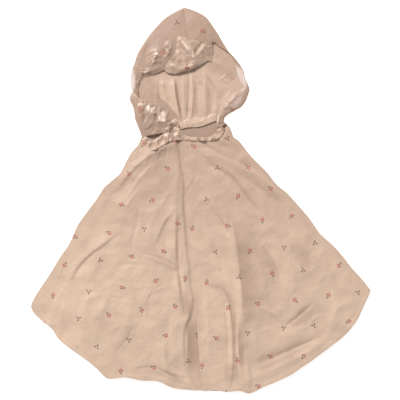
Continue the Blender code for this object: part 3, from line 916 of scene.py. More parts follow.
@dataclass
class ClothPiece:
    """One piece of cloth: a grid of middle points, made into a thin closed shell.

    Attributes:
        name: Name of the object.
        node: The solid it stands for.
        area: Its flat area, in square metres.
        flat: Size it is cut from, in metres.
        held: How it is held.
        rests_on: What it lies on.
        print_shift: Where the piece lies on the print.
        seam_at_first_row: Keeps the first row's rim square to the centre seam.
        columns: Points across.
        rows: Points down.
        crumpled: Patches where the cloth is crumpled.
        shiny: Places where the coating catches the light.
        pale: Patches of pale painted light, where a thin single layer lets light through, and of painted
            highlights.
        shaded: Patches of painted shade.
        fold_shades: Painted shade on the dark sides of folds: crisp along the line, fading to one side of
            it.
        points: Middle points by row and column.
    """

    name: str
    node: str
    area: float
    flat: Point
    held: Held = Held.LAID
    rests_on: tuple[str, ...] = ()
    print_shift: Point = (0.0, 0.0)
    seam_at_first_row: bool = False
    columns: int = 100
    rows: int = 100
    crumpled: Patches = ()
    shiny: Patches = ()
    pale: Patches = ()
    shaded: Patches = ()
    fold_shades: Creases = ()
    points: np.ndarray = field(init=False)

    def grid(self, below: HeightMap) -> np.ndarray:
        """Return the middle points by row and column."""
        raise NotImplementedError

    def masks(self) -> dict[str, object]:
        """Return the masks that the material reads: an array of shares, or one share for all."""
        raise NotImplementedError

    def dark(self) -> np.ndarray:
        """Return the painted shade at each point, from its shaded patches and the shade along its folds."""
        places = self.points[..., :2]
        return np.maximum(patch_mask(places, self.shaded), crease_heights(places, self.fold_shades))

    def cut(self) -> np.ndarray:
        """Return the place of each point on the print."""
        return self.points[..., :2] + self.print_shift

    def normals(self) -> np.ndarray:
        """Return the unit normal of the cloth at each point.

        Returns:
            Normals by row and column.
        """
        normals = np.cross(np.gradient(self.points, axis=0), np.gradient(self.points, axis=1))
        if self.seam_at_first_row:
            normals[0, :, 0] = 0.0
        return normals / np.maximum(np.linalg.norm(normals, axis=-1), 1e-9)[..., None]

    def faces(self) -> np.ndarray:
        """Return the corners of all four-sided faces: one side, the other side, the rim.

        Returns:
            Four corner numbers for each face.
        """
        rows, columns = self.points.shape[:2]
        index = np.arange(rows * columns).reshape(rows, columns)
        other = rows * columns
        corners = index[:-1, :-1], index[:-1, 1:], index[1:, 1:], index[1:, :-1]
        side = np.column_stack([corner.ravel() for corner in corners])
        rim = np.concatenate([index[:, 0], index[-1, 1:], index[-2::-1, -1], index[0, -2:0:-1]])
        following = np.roll(rim, -1)
        edge = np.column_stack([rim, following, other + following, other + rim])
        return np.vstack([side, other + side[:, ::-1], edge[:, ::-1]])

    def mesh(self) -> bpy.types.Mesh:
        """Make the closed mesh, in metres, with its cut as a map and its masks as attributes.

        Returns:
            The mesh.
        """
        half = self.normals() * SHELL / 2
        sides = np.stack([self.points - half, self.points + half])
        sides[..., 2] = np.maximum(sides[..., 2], LOWEST)
        mesh = bpy.data.meshes.new(self.name)
        mesh.from_pydata((sides.reshape(-1, 3) * MILLIMETRE).tolist(), [], self.faces().tolist())
        corners = np.zeros(len(mesh.loops), np.int32)
        mesh.loops.foreach_get("vertex_index", corners)
        cut = np.tile(self.cut().reshape(-1, 2) * MILLIMETRE, (2, 1))
        layer = mesh.uv_layers.new(name="cut")
        layer.data.foreach_set("uv", cut[corners].ravel().astype(np.float32))
        masks = self.masks()
        for name in MASKS:
            mask = np.broadcast_to(masks.get(name, 0.0), self.points.shape[:2])
            values = np.tile(np.clip(mask, 0.0, 1.0).ravel(), 2).astype(np.float32)
            mesh.attributes.new(name, "FLOAT", "POINT").data.foreach_set("value", values)
        mesh.shade_smooth()
        mesh.set_sharp_from_angle(angle=math.radians(FOLD_ANGLE))
        return mesh

    def build(self, finishes: Finishes, below: HeightMap) -> None:
        """Args:
            finishes: The materials.
            below: What was laid before it.
        """
        self.points = self.grid(below)
        piece = add_object(self.name, self.mesh(), finishes.cloth)
        seat(piece, self.node)


PLACKET_EDGE: Path2D = ((-52, 146), (-49, 115), (-44, 77), (-38, 34), (-38, 0), (-35, -43), (-30, -91),
                        (-26, -130), (-20, -163), (-17, -202), (-8, -240), (-5, -274), (-9, -302),
                        (-7, -336), (-4, -374), (-2, -413), (4, -458))
RIGHT_SIDE: Path2D = ((-144, 149), (-151, 132), (-166, 115), (-180, 91), (-193, 65), (-214, 46),
                      (-233, 29), (-252, 0), (-274, -29), (-295, -59), (-307, -86), (-319, -110),
                      (-336, -134), (-360, -173), (-379, -202), (-396, -228), (-406, -247), (-408, -257))
LEFT_SIDE: Path2D = ((61, 178), (68, 176), (73, 166), (78, 152), (91, 142), (103, 127), (118, 108),
                     (139, 86), (158, 67), (182, 37), (204, 19), (223, -1), (257, -40), (276, -67),
                     (288, -83), (317, -109), (341, -136), (362, -163), (384, -187), (398, -204),
                     (407, -216))
RIGHT_HEM: Path2D = ((-408, -257), (-401, -271), (-382, -289), (-358, -308), (-343, -331), (-324, -347),
                     (-298, -366), (-271, -385), (-250, -403), (-228, -425), (-211, -428), (-180, -425),
                     (-142, -432), (-103, -434), (-79, -445), (-62, -451), (-26, -455), (4, -457))
LEFT_HEM: Path2D = ((4, -458), (36, -456), (62, -459), (94, -457), (113, -463), (132, -457), (151, -447),
                    (178, -436), (214, -419), (242, -400), (266, -384), (290, -366), (319, -344),
                    (348, -320), (374, -288), (384, -269), (394, -247), (402, -230), (407, -216))
CENTRE_BACK_SEAM: Path2D = ((-40, 452), (-34, 408), (-29, 336), (-29, 264), (-31, 176))
CROWN_SEAM: Path2D = ((-40, 452), (-34, 408), (-31, 380))


@dataclass
class FrontPanel(ClothPiece):
    """What both fronts share: a flared panel that lies on the back with a little air under it.

    Attributes:
        neckline: The gathered neck edge.
        seam_first: Whether the first column is the side seam.
        swelling: Distances from the placket's edge over which the air grows to its full height.
        creases: The creases, listed one by one.
        waves: Slow unevenness of the whole panel, and fine creases all over it.
        hem_width: Width of the turned hem.
        hem_edge: Where its step ends, before and past that width.
        hem_step: How much thicker it is, and how far its stitches draw it in.
        hem_stitch: Half width of the line that the stitches draw in.
        rise: Shares of the width over which the air and the waves rise from the side seam.
        calm: Share of the waves that is left at the side seam.
        neck_rise: Shares of the width and of the length that the neck's extra air takes.
        neck_shading: y where the painted shade starts, and where it is strongest.
        depth: How strong the painted shade is there.
        gloss_and_highlight: How glossy the coating is; past a point it also gets painted highlights.
    """

    columns: int = 176
    rows: int = 250
    neckline: Path2D = ()
    seam_first: bool = True
    swelling: Point = (30.0, 75.0)
    creases: Creases = ()
    waves: Crumples = (Crumple(62.0, 0.9, 11), Crumple(26.0, 0.25, 12, angle=58.0),
                       Crumple(70.0, 0.85, 13, Relief.RIDGED), Crumple(33.0, 0.34, 14, Relief.RIDGED),
                       Crumple(15.0, 0.13, 15, Relief.RIDGED))
    hem_width: float = 11.0
    hem_edge: Point = (-1.5, 1.0)
    hem_step: Point = (0.45, 0.35)
    hem_stitch: float = 1.8
    rise: Point = (0.32, 0.12)
    calm: float = 0.25
    neck_rise: Point = (0.25, 0.14)
    neck_shading: Point = (-260.0, 150.0)
    depth: float = 0.5
    gloss_and_highlight: float = 0.12

    def past_edge(self, places: np.ndarray) -> np.ndarray:
        """Return how far each place is past the overlap's edge."""
        edge = smooth_curve(PLACKET_EDGE, PLACKET_POINTS)
        return places[..., 0] - np.interp(-places[..., 1], -edge[:, 1], edge[:, 0])

    def loft(self, places: np.ndarray) -> np.ndarray:
        """Return the height of the front over its lowest place: air, creases, waves and hem.

        Args:
            places: x, y by row and column.

        Returns:
            Heights by row and column: none at the side seam, open at the neck and the hem.
        """
        across = even_shares(self.columns)[None, :]
        from_seam = across if self.seam_first else 1 - across
        down = even_shares(self.rows)[:, None]
        neck = soft_step(from_seam, 0.0, self.neck_rise[0]) * (1 - soft_step(down, 0.0, self.neck_rise[1]))
        air = FRONT_LOFT * soft_step(from_seam, 0.0, self.rise[0]) + NECK_LOFT * neck
        settled = PLACKET_LOFT / FRONT_LOFT
        air = air * (settled + (1 - settled) * soft_step(np.abs(self.past_edge(places)), *self.swelling))
        share = self.calm + (1 - self.calm) * soft_step(from_seam, 0.0, self.rise[1])
        uneven = crumple_heights(places, self.waves) * share
        return air + crease_heights(places, self.creases) + uneven + self.hem(places)

    def hem(self, places: np.ndarray) -> np.ndarray:
        """Return the step of the turned hem, drawn in a little where the stitches hold it.

        Args:
            places: x, y by row and column.

        Returns:
            Heights by row and column.
        """
        past = np.linalg.norm(places[-1][None] - places, axis=-1) - self.hem_width
        thick = 1 - soft_step(past, *self.hem_edge)
        drawn = np.exp(-(past / self.hem_stitch) ** 2)
        return self.hem_step[0] * thick - self.hem_step[1] * drawn

    def masks(self) -> dict[str, object]:
        """Return the masks: painted shade, a little darker towards the neck, and along the dark sides of
        folds.
        """
        neck_shade = self.depth * soft_step(self.points[..., 1], *self.neck_shading)
        return {"painted_shade": np.maximum(neck_shade, self.dark()), "gloss_and_highlight": self.gloss_and_highlight}


@dataclass
class RightFront(FrontPanel):
    """The wearer's right front, with the underlap that runs on under the other front.

    Attributes:
        trough: Distance down from the middle, and width of underlap that shows there.
        sinking: Distance over which the cloth sinks to the underlap.
    """

    name: str = "right_front_cloth"
    node: str = "right_front"
    flat: Point = (0.47, 0.62)
    area: float = 0.185
    rests_on: tuple[str, ...] = ("back_panel",)
    trough: Path2D = ((-146, 1), (96, 2), (240, 6), (293, 20), (322, 28), (348, 30), (413, 28), (458, 6))
    sinking: float = 9.0
    neckline: Path2D = ((-144, 149), (-130, 132), (-113, 121), (-96, 130), (-74, 142), (-50, 146), (-8, 146))
    # Painted shade: darker patches, and shade along the dark sides of the folds.
    shaded: Patches = patches((-55, -12, 8, 95, 2, 0.5), (-36, -254, 9, 40, 8, 0.5),
                              (-98, -413, 45, 10, -10, 0.35), (-161, -444, 48, 14, 0, 0.3))
    fold_shades: Creases = ridges(
        (40, 1.5, 0.95, (-36, -283), (-32, -324), (-31, -372), (-29, -418)),
        (2.5, 16, 0.8, (-53, 120), (-98, 101), (-134, 77), (-180, 24)),
        (1.5, 10, 0.6, (-209, -91), (-262, -130), (-295, -168), (-310, -202)),
        (1.5, 7, 0.6, (-132, -130), (-98, -142), (-55, -168)),
        (6, 1.2, 0.5, (-74, -206), (-122, -226), (-134, -274)),
        (1, 9, 0.5, (-156, -298), (-178, -331), (-202, -367)),
        (1.2, 8, 0.7, (-94, -406), (-70, -418), (-43, -432)),
        (1.5, 5, 0.6, (-55, -62), (-55, -120), (-53, -173), (-41, -240)),
    )
    creases: Creases = ridges(
        (7, 30, 4.2, (-62, 136), (-98, 120), (-139, 96), (-175, 62), (-206, 24)),
        (5, 12, 2.6, (-60, -29), (-62, -72), (-62, -149)),
        (4, 12, 2.4, (-67, -29), (-84, -46), (-98, -72), (-108, -101)),
        (3, 9, -1.3, (-149, -12), (-151, -53), (-163, -96), (-161, -125), (-146, -154)),
        (2.2, 4.5, -2.2, (-139, -127), (-98, -139), (-58, -163), (-48, -192), (-41, -240)),
        (5, 7, 2.4, (-91, -348), (-86, -379), (-79, -408)),
        (3, 4, -1.8, (-151, -403), (-110, -401), (-70, -420), (-26, -430)),
        (5, 6, 1.2, (-146, -422), (-110, -422), (-60, -444)),
        (3, 12, 2.2, (-199, -77), (-233, -103), (-266, -130), (-295, -158), (-314, -192)),
        (8, 20, 2, (-218, -216), (-238, -269), (-247, -326)),
        (9, 14, 1.6, (-290, -240), (-271, -293), (-242, -348)),
        (6, 7, -1.4, (-50, 96), (-48, 48), (-48, -5)),
        (3, 4, -1.6, (-55, -58), (-55, -115), (-55, -170)),
        (3, 4, -2.4, (-55, -168), (-48, -211), (-41, -250), (-34, -298)),
        (3, 4, 1.6, (-43, -168), (-36, -216), (-29, -259)),
        (4, 3, 1.8, (-130, -134), (-103, -146), (-70, -163)),
        (3, 3, 0.7, (-122, 127), (-130, 106), (-134, 86)),
        (3, 3, -0.7, (-108, 127), (-118, 103), (-127, 79)),
        (3, 3, 0.7, (-91, 137), (-101, 113), (-108, 94)),
        (3, 3, -0.7, (-77, 142), (-82, 120), (-86, 101)),
        (3, 3, 0.7, (-62, 146), (-65, 125), (-67, 101)),
        (5, 6, 0.9, (-74, 24), (-84, 5), (-98, -19)),
        (6, 9, 1.6, (-55, -168), (-53, -204), (-50, -240)),
        (8, 8, -1.8, (-48, -235), (-43, -262), (-41, -288)),
        (4, 4, 1.8, (-31, -245), (-29, -276), (-26, -302)),
        (4, 5, 1.1, (-149, 22), (-163, 7), (-182, -22)),
        (4, 4, -0.8, (-197, -158), (-166, -154), (-132, -156)),
        (5, 6, 1.2, (-122, 77), (-151, 46), (-175, 7)),
        (7, 9, 1, (-98, -14), (-118, -53), (-127, -101)),
        (12, 14, -1, (-194, -53), (-223, -110), (-245, -168)),
        (10, 12, 1, (-262, -206), (-276, -264), (-281, -322)),
        (12, 10, -1.2, (-214, -278), (-223, -346), (-228, -398)),
        (10, 12, 1.1, (-161, -216), (-175, -283), (-185, -346)),
        (6, 6, -0.9, (-91, -62), (-84, -106), (-84, -149)),
        (8, 8, 1.2, (-118, -240), (-103, -293), (-98, -346)),
        (7, 7, -1.1, (-74, -264), (-79, -312), (-74, -365)),
    ) + ridges(
        (2.2, 3, -1.1, (-86, -200), (-118, -224), (-139, -274), (-137, -310)),
        (3, 4, -1.4, (-79, -391), (-55, -406), (-36, -415)),
        (3, 3, 0.9, (-154, -288), (-161, -310), (-168, -331)),
        (3, 3, 0.8, (-180, -341), (-190, -358), (-204, -374)),
        (3, 3, 0.8, (-329, -158), (-338, -173), (-346, -187)),
        (3, 3, 0.8, (-331, -209), (-338, -226), (-348, -242)),
        (3, 3, 0.8, (-240, -262), (-247, -274), (-254, -288)),
        (3, 3, 0.8, (-192, -182), (-180, -190), (-168, -192)),
        (3, 3, -0.8, (-221, -230), (-199, -235), (-175, -233)),
        (3, 5, 1.2, (-214, -91), (-233, -108), (-252, -122)),
        profile=Profile.SHARP)

    def grid(self, below: HeightMap) -> np.ndarray:
        """Shape the right front, which runs on low under the overlap.

        Args:
            below: What was laid before this piece; not used.

        Returns:
            The middle points by row and column.
        """
        inner = np.array(PLACKET_EDGE) + (UNDERLAP_WIDTH, 0.0)
        hem = np.vstack([smooth_curve(RIGHT_HEM, HEM_POINTS), inner[-1:]])
        places = spread(smooth_curve(self.neckline, self.columns), respace(hem, self.columns),
                        RIGHT_SIDE, inner, self.rows)
        trough = np.interp(-places[..., 1], *zip(*self.trough))
        under = soft_step(self.past_edge(places) + trough, -self.sinking, 0.0)
        heights = FRONT_LOWEST + np.maximum(self.loft(places), 0.0) * (1 - under)
        return with_heights(places, heights + (UNDERLAP_HEIGHT - FRONT_LOWEST) * under)


@dataclass
class LeftFront(FrontPanel):
    """The wearer's left front, whose edge laps over the press studs and the other front.

    Attributes:
        descent: How far past the underlap the least height falls to that of the other front.
    """

    name: str = "left_front_cloth"
    node: str = "left_front"
    flat: Point = (0.46, 0.64)
    area: float = 0.182
    rests_on: tuple[str, ...] = ("back_panel", "right_front_cloth", *STUDS)
    print_shift: Point = (37.0, 19.0)
    seam_first: bool = False
    swelling: Point = (36.0, 90.0)
    descent: Point = (12.0, 34.0)
    neckline: Path2D = ((-52, 146), (-31, 148), (-10, 147), (12, 147), (31, 149), (46, 155), (55, 167),
                        (61, 178))
    # Painted shade: darker patches, and shade along the dark sides of the folds.
    shaded: Patches = patches((146, 36, 80, 18, -42, 0.5), (238, -132, 40, 22, -50, 0.3),
                              (238, -283, 40, 14, 30, 0.4), (74, -413, 20, 22, 0, 0.35))
    fold_shades: Creases = ridges(
        (44, 1.5, 0.72, (72, -29), (79, -77), (89, -134), (98, -216), (103, -288)),
        (12, 1.5, 0.85, (89, -293), (90, -348), (94, -408)),
        (14, 2, 0.7, (10, 96), (60, 70), (103, 17), (146, -38)),
        (9, 2, 0.55, (24, -17), (50, -53), (72, -91)),
        (30, 3, 0.45, (50, 115), (113, 67), (199, -14)),
        (7, 1.5, 0.6, (17, -204), (50, -214), (67, -245), (74, -312)),
        (12, 1.2, 0.65, (122, -389), (204, -360), (278, -329)),
        (2, 9, 0.6, (264, -247), (238, -271), (211, -298)),
        (3, 26, 0.35, (137, -96), (175, -149), (192, -216)),
    )
    creases: Creases = ridges(
        (8, 5, -3.2, (-31, 132), (14, 89), (50, 67), (79, 38), (108, 0), (132, -36), (146, -67)),
        (8, 5, -2.6, (4, 132), (26, 122), (50, 108), (89, 89), (146, 67), (170, 48)),
        (7, 13, 2.8, (34, 120), (94, 84), (146, 48), (202, 0)),
        (8, 5, -2.2, (82, 67), (118, 43), (146, 24), (190, -12), (238, -60)),
        (7, 4, -2.4, (19, -14), (34, -36), (50, -60), (74, -91)),
        (36, 9, 6.6, (60, -53), (70, -86), (79, -132), (91, -187), (96, -240), (94, -312), (101, -360)),
        (4, 6, -3, (12, -206), (43, -221), (53, -240), (60, -269), (65, -312), (67, -408)),
        (3, 5, 3.4, (50, -216), (65, -247), (72, -288), (74, -348), (74, -408), (67, -446)),
        (4, 4, -4.2, (72, -230), (82, -259), (85, -300), (85, -372), (91, -413)),
        (5, 7, 2.2, (108, -384), (113, -413), (115, -451)),
        (3, 4, -1.6, (266, -252), (245, -269), (209, -298), (194, -312)),
        (3, 3, -1, (118, -401), (146, -389), (214, -360), (281, -329)),
        (6, 10, 1.4, (127, -425), (178, -403), (218, -384), (257, -362), (288, -343)),
        (12, 12, 2, (334, -240), (319, -276), (310, -312)),
        (14, 18, 2.2, (214, -77), (245, -108), (266, -139), (276, -180)),
        (4, 5, 1.4, (41, 84), (60, 70), (79, 58)),
        (3, 3, 1.4, (-22, 146), (-17, 130), (-10, 113)),
        (3, 3, -1.3, (-7, 146), (0, 132), (12, 118)),
        (3, 3, 1.4, (7, 146), (19, 134), (34, 122)),
        (3, 3, -1.2, (22, 146), (36, 134), (55, 125)),
        (3, 3, 1.3, (36, 149), (53, 139), (72, 130)),
        (3, 4, 1.4, (53, 161), (67, 146), (84, 132)),
        (4, 4, 1.6, (-19, 151), (-24, 142), (-29, 130)),
        (6, 6, -1.6, (31, -96), (38, -120), (48, -149), (53, -180), (62, -206)),
        (4, 4, 1, (127, -247), (161, -266), (192, -281)),
        (8, 8, 1.1, (214, -74), (245, -108), (266, -132)),
        (4, 4, -1.6, (101, -348), (103, -379), (106, -410)),
        (8, 12, 1.3, (77, -62), (101, -86), (118, -110), (137, -144), (156, -218)),
        (12, 14, -1.2, (146, -67), (166, -125), (180, -202), (187, -254)),
        (10, 12, 1.2, (199, -110), (218, -173), (228, -240)),
        (12, 12, -1, (238, -120), (281, -182), (310, -240)),
        (8, 8, 1.2, (7, -34), (14, -77), (22, -120)),
        (7, 8, -1.2, (-7, -149), (-2, -197), (2, -250)),
        (10, 10, 1.3, (127, -288), (132, -346), (146, -389)),
        (7, 7, 1.2, (12, -240), (17, -302), (22, -365)),
        (8, 8, 1, (50, 0), (89, -38), (122, -86)),
    ) + ridges(
        (3, 3, 1, (-26, 86), (-19, 77), (-10, 67)),
        (3, 5, 1.2, (-17, 58), (-26, 43), (-36, 26)),
        (3, 3, -1, (7, -382), (12, -394), (29, -398), (48, -391)),
        (3, 3, 0.9, (22, -310), (12, -324), (5, -338)),
        (3, 3, -0.9, (29, -288), (41, -300), (62, -314)),
        (3, 3, 1, (295, -274), (269, -286), (259, -300), (242, -310)),
        (3, 3, 0.7, (245, -317), (245, -326), (247, -338)),
        (3, 3, 0.7, (221, -314), (228, -319), (238, -326)),
        (3, 3, 0.8, (310, -170), (317, -180), (326, -190)),
        profile=Profile.SHARP)

    def grid(self, below: HeightMap) -> np.ndarray:
        """Shape the left front, no lower than the underlap and the studs allow.

        Args:
            below: What was laid before this piece; not used.

        Returns:
            The middle points by row and column.
        """
        places = spread(smooth_curve(self.neckline, self.columns), smooth_curve(LEFT_HEM, self.columns),
                        PLACKET_EDGE, LEFT_SIDE, self.rows)
        past = soft_step(self.past_edge(places) - UNDERLAP_WIDTH, *self.descent)
        lowest = OVERLAP_HEIGHT - (OVERLAP_HEIGHT - FRONT_LOWEST) * past
        return with_heights(places, np.maximum(FRONT_LOWEST + self.loft(places), lowest))


@dataclass
class BackPanel(ClothPiece):
    """The back, flat on the surface, just inside the outline of the fronts.

    Attributes:
        neckline: Its neck edge, under the hood.
        middle: Point towards which the outline is drawn in.
        drawn_in: Size that is left of it.
    """

    name: str = "back_cloth"
    node: str = "back_panel"
    flat: Point = (0.82, 0.66)
    area: float = 0.342
    columns: int = 90
    rows: int = 60
    neckline: Path2D = ((-144, 152), (-120, 166), (-80, 178), (-31, 184), (20, 194), (48, 192), (61, 178))
    middle: Point = (-20.0, -150.0)
    drawn_in: float = 0.997

    def grid(self, below: HeightMap) -> np.ndarray:
        """Lay the back flat on the surface, its outline drawn in a little.

        Args:
            below: What was laid before this piece; not used.

        Returns:
            The middle points by row and column.
        """
        hem = np.vstack([smooth_curve(knots, HEM_POINTS) for knots in (RIGHT_HEM, LEFT_HEM)])
        places = spread(smooth_curve(self.neckline, self.columns), respace(hem, self.columns),
                        RIGHT_SIDE, LEFT_SIDE, self.rows)
        places = self.middle + (places - self.middle) * self.drawn_in
        return with_heights(places, np.full(places.shape[:2], FLAT_HEIGHT))

    def masks(self) -> dict[str, object]:
        """Return the masks: its coated side shows, under full painted shade."""
        return {"painted_shade": 1.0, "inside": 1.0}


@dataclass
class HoodHalf(ClothPiece):
    """One half of the hood: under layer, turned edge and upper layer in one piece.

    Attributes:
        side: -1 for the wearer's right half, 1 for the left one.
        outline: Outline of the hood, from the tip to the neck.
        face_edge: Free edge of the upper layer.
        sections: Rows of share of the way from tip to neck, half height of the turned edge, height
            of the upper layer half way to its free edge, and height of that edge.
        inside: Creases of the under layer, whose coated side shows.
        outside: Creases of the upper layer.
        lip_rise: How far the under layer's neck edge rises towards the side.
        lip_unrest: Small gathers of that edge.
        lap_height: How high it stands on the back panel.
        lap_depth: How far it reaches down over it.
        under_points: Columns of the under layer.
        turn_points: Columns of the turned edge.
        over_points: Columns of the upper layer.
        waves: Unevenness of both layers.
        heap: Fine crumple of the crumpled patches.
        turn_share: Most of the way to the free edge that the turned edge takes up.
        air: Least height of the under layer's folds over the surface.
        lowered: Shares of the way to the neck over which the neck edge is drawn down.
        lapped: Shares of that way over which it steps up on the back panel.
        lap_end: Shares of the way to the turned edge over which that step ends.
        lip_rising: Shares of that way over which the neck edge rises.
        lip_end: Shares of that way over which it comes back to the outline.
        fold_end: Shares of that way over which the folds end.
        seam_end: Share of that way over which they rise from the centre seam.
        over_ends: Shares of the upper layer over which its creases rise and fade.
        waves_ends: The same for its waves and its crumple.
        shade_shares: Painted shade on the upper layer's printed side, and on the under layer, whose coated
            side shows.
        least_gloss: Gloss of the plain cloth.
        heap_gloss: Glossiness of the crumpled patches, where highlights are also painted.
    """

    held: Held = Held.FOLDED
    flat: Point = (0.27, 0.30)
    seam_at_first_row: bool = True
    rows: int = 200
    side: int = 1
    outline: Path2D = ()
    face_edge: Path2D = ()
    sections: Rows = ()
    inside: Creases = ()
    outside: Creases = ()
    lip_rise: float = 0.0
    lip_unrest: Crumple = Crumple(16.0, 0.8, 35, Relief.RIDGED)
    lap_height: float = 2.6
    lap_depth: float = 2.0
    under_points: int = 90
    turn_points: int = 12
    over_points: int = 110
    waves: Crumples = (Crumple(38.0, 0.5, 33), Crumple(19.0, 0.22, 34, angle=65.0))
    heap: Crumples = (Crumple(22.0, 2.1, 31, Relief.RIDGED), Crumple(11.0, 1.0, 32, Relief.RIDGED, 70.0))
    turn_share: float = 0.35
    air: float = 0.5
    lowered: Point = (0.8, 1.0)
    lapped: Point = (0.90, 0.97)
    lap_end: Point = (0.8, 0.95)
    lip_rising: Point = (0.25, 0.85)
    lip_end: Point = (0.9, 1.0)
    fold_end: Point = (0.70, 0.92)
    seam_end: float = 0.03
    over_ends: Point = (0.2, 0.12)
    waves_ends: Point = (0.15, 0.05)
    shade_shares: Point = (0.96, 0.38)
    least_gloss: float = 0.1
    heap_gloss: float = 0.35

    def grid(self, below: HeightMap) -> np.ndarray:
        """Shape the hood half by row, from the tip, and column, from the centre back.

        Args:
            below: What was laid before this piece; not used.

        Returns:
            The middle points: under layer, turned edge and upper layer side by side.
        """
        shift = self.side * np.array((SEAM_GAP / 2, 0.0))
        centre_back = smooth_curve(CENTRE_BACK_SEAM, self.rows) + shift
        turned = smooth_curve(self.outline, self.rows)
        turned[0] += shift
        dense = [smooth_curve(knots, CURVE_STEPS * (len(CROWN_SEAM) + len(self.face_edge)))
                 for knots in (CROWN_SEAM, self.face_edge)]
        free = respace(np.vstack(dense), self.rows) + shift
        shares, *columns = zip(*self.sections)
        turn, crown, edge = (np.interp(even_shares(self.rows), shares, column)[:, None]
                             for column in columns)
        inwards = [centre_back - turned, free - turned]
        rooms = [np.linalg.norm(way, axis=1)[:, None] for way in inwards]
        inwards = [way / room for way, room in zip(inwards, rooms)]
        depth = np.minimum(turn, self.turn_share * rooms[1])
        under = self.under_layer(centre_back, turned + inwards[0] * depth)
        angle = np.linspace(-np.pi / 2, np.pi / 2, self.turn_points + 2)[None, 1:-1, None]
        blend = (np.sin(angle) + 1) / 2
        inward = inwards[0][:, None] * (1 - blend) + inwards[1][:, None] * blend
        bend = turned[:, None] + inward * depth[:, None] * (1 - np.cos(angle))
        bend = with_heights(bend, (FLAT_HEIGHT + turn[..., None] * (1 + np.sin(angle)))[..., 0])
        over = self.upper_layer(turned + inwards[1] * depth, free, FLAT_HEIGHT + 2 * turn, crown, edge)
        return np.concatenate([under, bend, over], axis=1)

    def under_layer(self, centre_back: np.ndarray, bend: np.ndarray) -> np.ndarray:
        """Make the layer that lies on the surface and laps over the back panel at the neck.

        Args:
            centre_back: Points of the seam at the centre back.
            bend: Points where the cloth starts to turn up.

        Returns:
            Points by row and column.
        """
        share, down = even_shares(self.under_points), even_shares(self.rows)
        under = centre_back[:, None] + (bend - centre_back)[:, None] * share[None, :, None]
        lowered, outwards = soft_step(down, *self.lowered)[:, None], soft_step(share, *self.lip_end)
        under[..., 1] -= self.lap_depth * lowered * (1 - outwards / 2)
        under[..., 1] += self.lip_rise * lowered * soft_step(share, *self.lip_rising) * (1 - outwards)
        rise = np.maximum(crease_heights(under, self.inside), 0.0)
        rise = np.maximum(rise + self.air + crumple_heights(under, self.waves), 0.0)
        rise = rise * (1 - soft_step(share, *self.fold_end)) * soft_step(share, 0.0, self.seam_end)
        lap = soft_step(down, *self.lapped)[:, None] * (1 - soft_step(share, *self.lap_end))
        lap = self.lap_height * lap
        lap = lap + np.minimum(lap, 1.0) * np.maximum(self.lip_unrest.heights(under), 0.0)
        return with_heights(under, FLAT_HEIGHT + np.maximum(rise, lap))

    def upper_layer(self, bend: np.ndarray, free: np.ndarray, start: np.ndarray, crown: np.ndarray,
                    edge: np.ndarray) -> np.ndarray:
        """Make the layer that comes back over the top to the face edge.

        Args:
            bend: Points where the turned edge ends.
            free: Points of the free edge.
            start: Height of each row at the turned edge.
            crown: Height half way.
            edge: Height at the free edge.

        Returns:
            Points by row and column.
        """
        share = even_shares(self.over_points)
        over = bend[:, None] + (free - bend)[:, None] * share[None, :, None]
        bow = crown - (start + edge) / 2
        heights = start * (1 - share) + edge * share + 4 * bow * share * (1 - share)
        creased, uneven = (soft_step(share, 0.0, ends[0]) * soft_step(1 - share, 0.0, ends[1])
                           for ends in (self.over_ends, self.waves_ends))
        unrest = crumple_heights(over, self.waves)
        unrest = unrest + patch_mask(over, self.crumpled) * crumple_heights(over, self.heap)
        return with_heights(over, heights + creased * crease_heights(over, self.outside) + uneven * unrest)

    def cut(self) -> np.ndarray:
        """Return the place of each point on the print: the upper layer has its own part of it.

        Returns:
            x, y by row and column.
        """
        cut = self.points[..., :2].copy()
        cut[:, self.under_points:] += self.print_shift
        return cut

    def masks(self) -> dict[str, object]:
        """Make the masks: the upper layer shows its printed side and the under layer its coated one, both
        under painted shade, with painted highlights and pale painted light in places.

        Returns:
            Shares from 0 to 1 by row and column.
        """
        places = self.points[..., :2]
        inside = np.zeros(places.shape[:2])
        inside[:, :self.under_points + self.turn_points // 2] = 1.0
        # Painted highlights on the crumpled and shiny places; painted shade over both layers and along the
        # folds; pale painted light at single layers.
        heaped = self.heap_gloss * patch_mask(places, self.crumpled)
        gloss_and_highlight = (1 - inside) * np.maximum(heaped, patch_mask(places, self.shiny))
        return {"painted_shade": np.maximum(np.where(inside > 0, self.shade_shares[1], self.shade_shares[0]), self.dark()),
                "inside": inside, "gloss_and_highlight": self.least_gloss + (1 - self.least_gloss) * gloss_and_highlight,
                "pale": patch_mask(places, self.pale)}


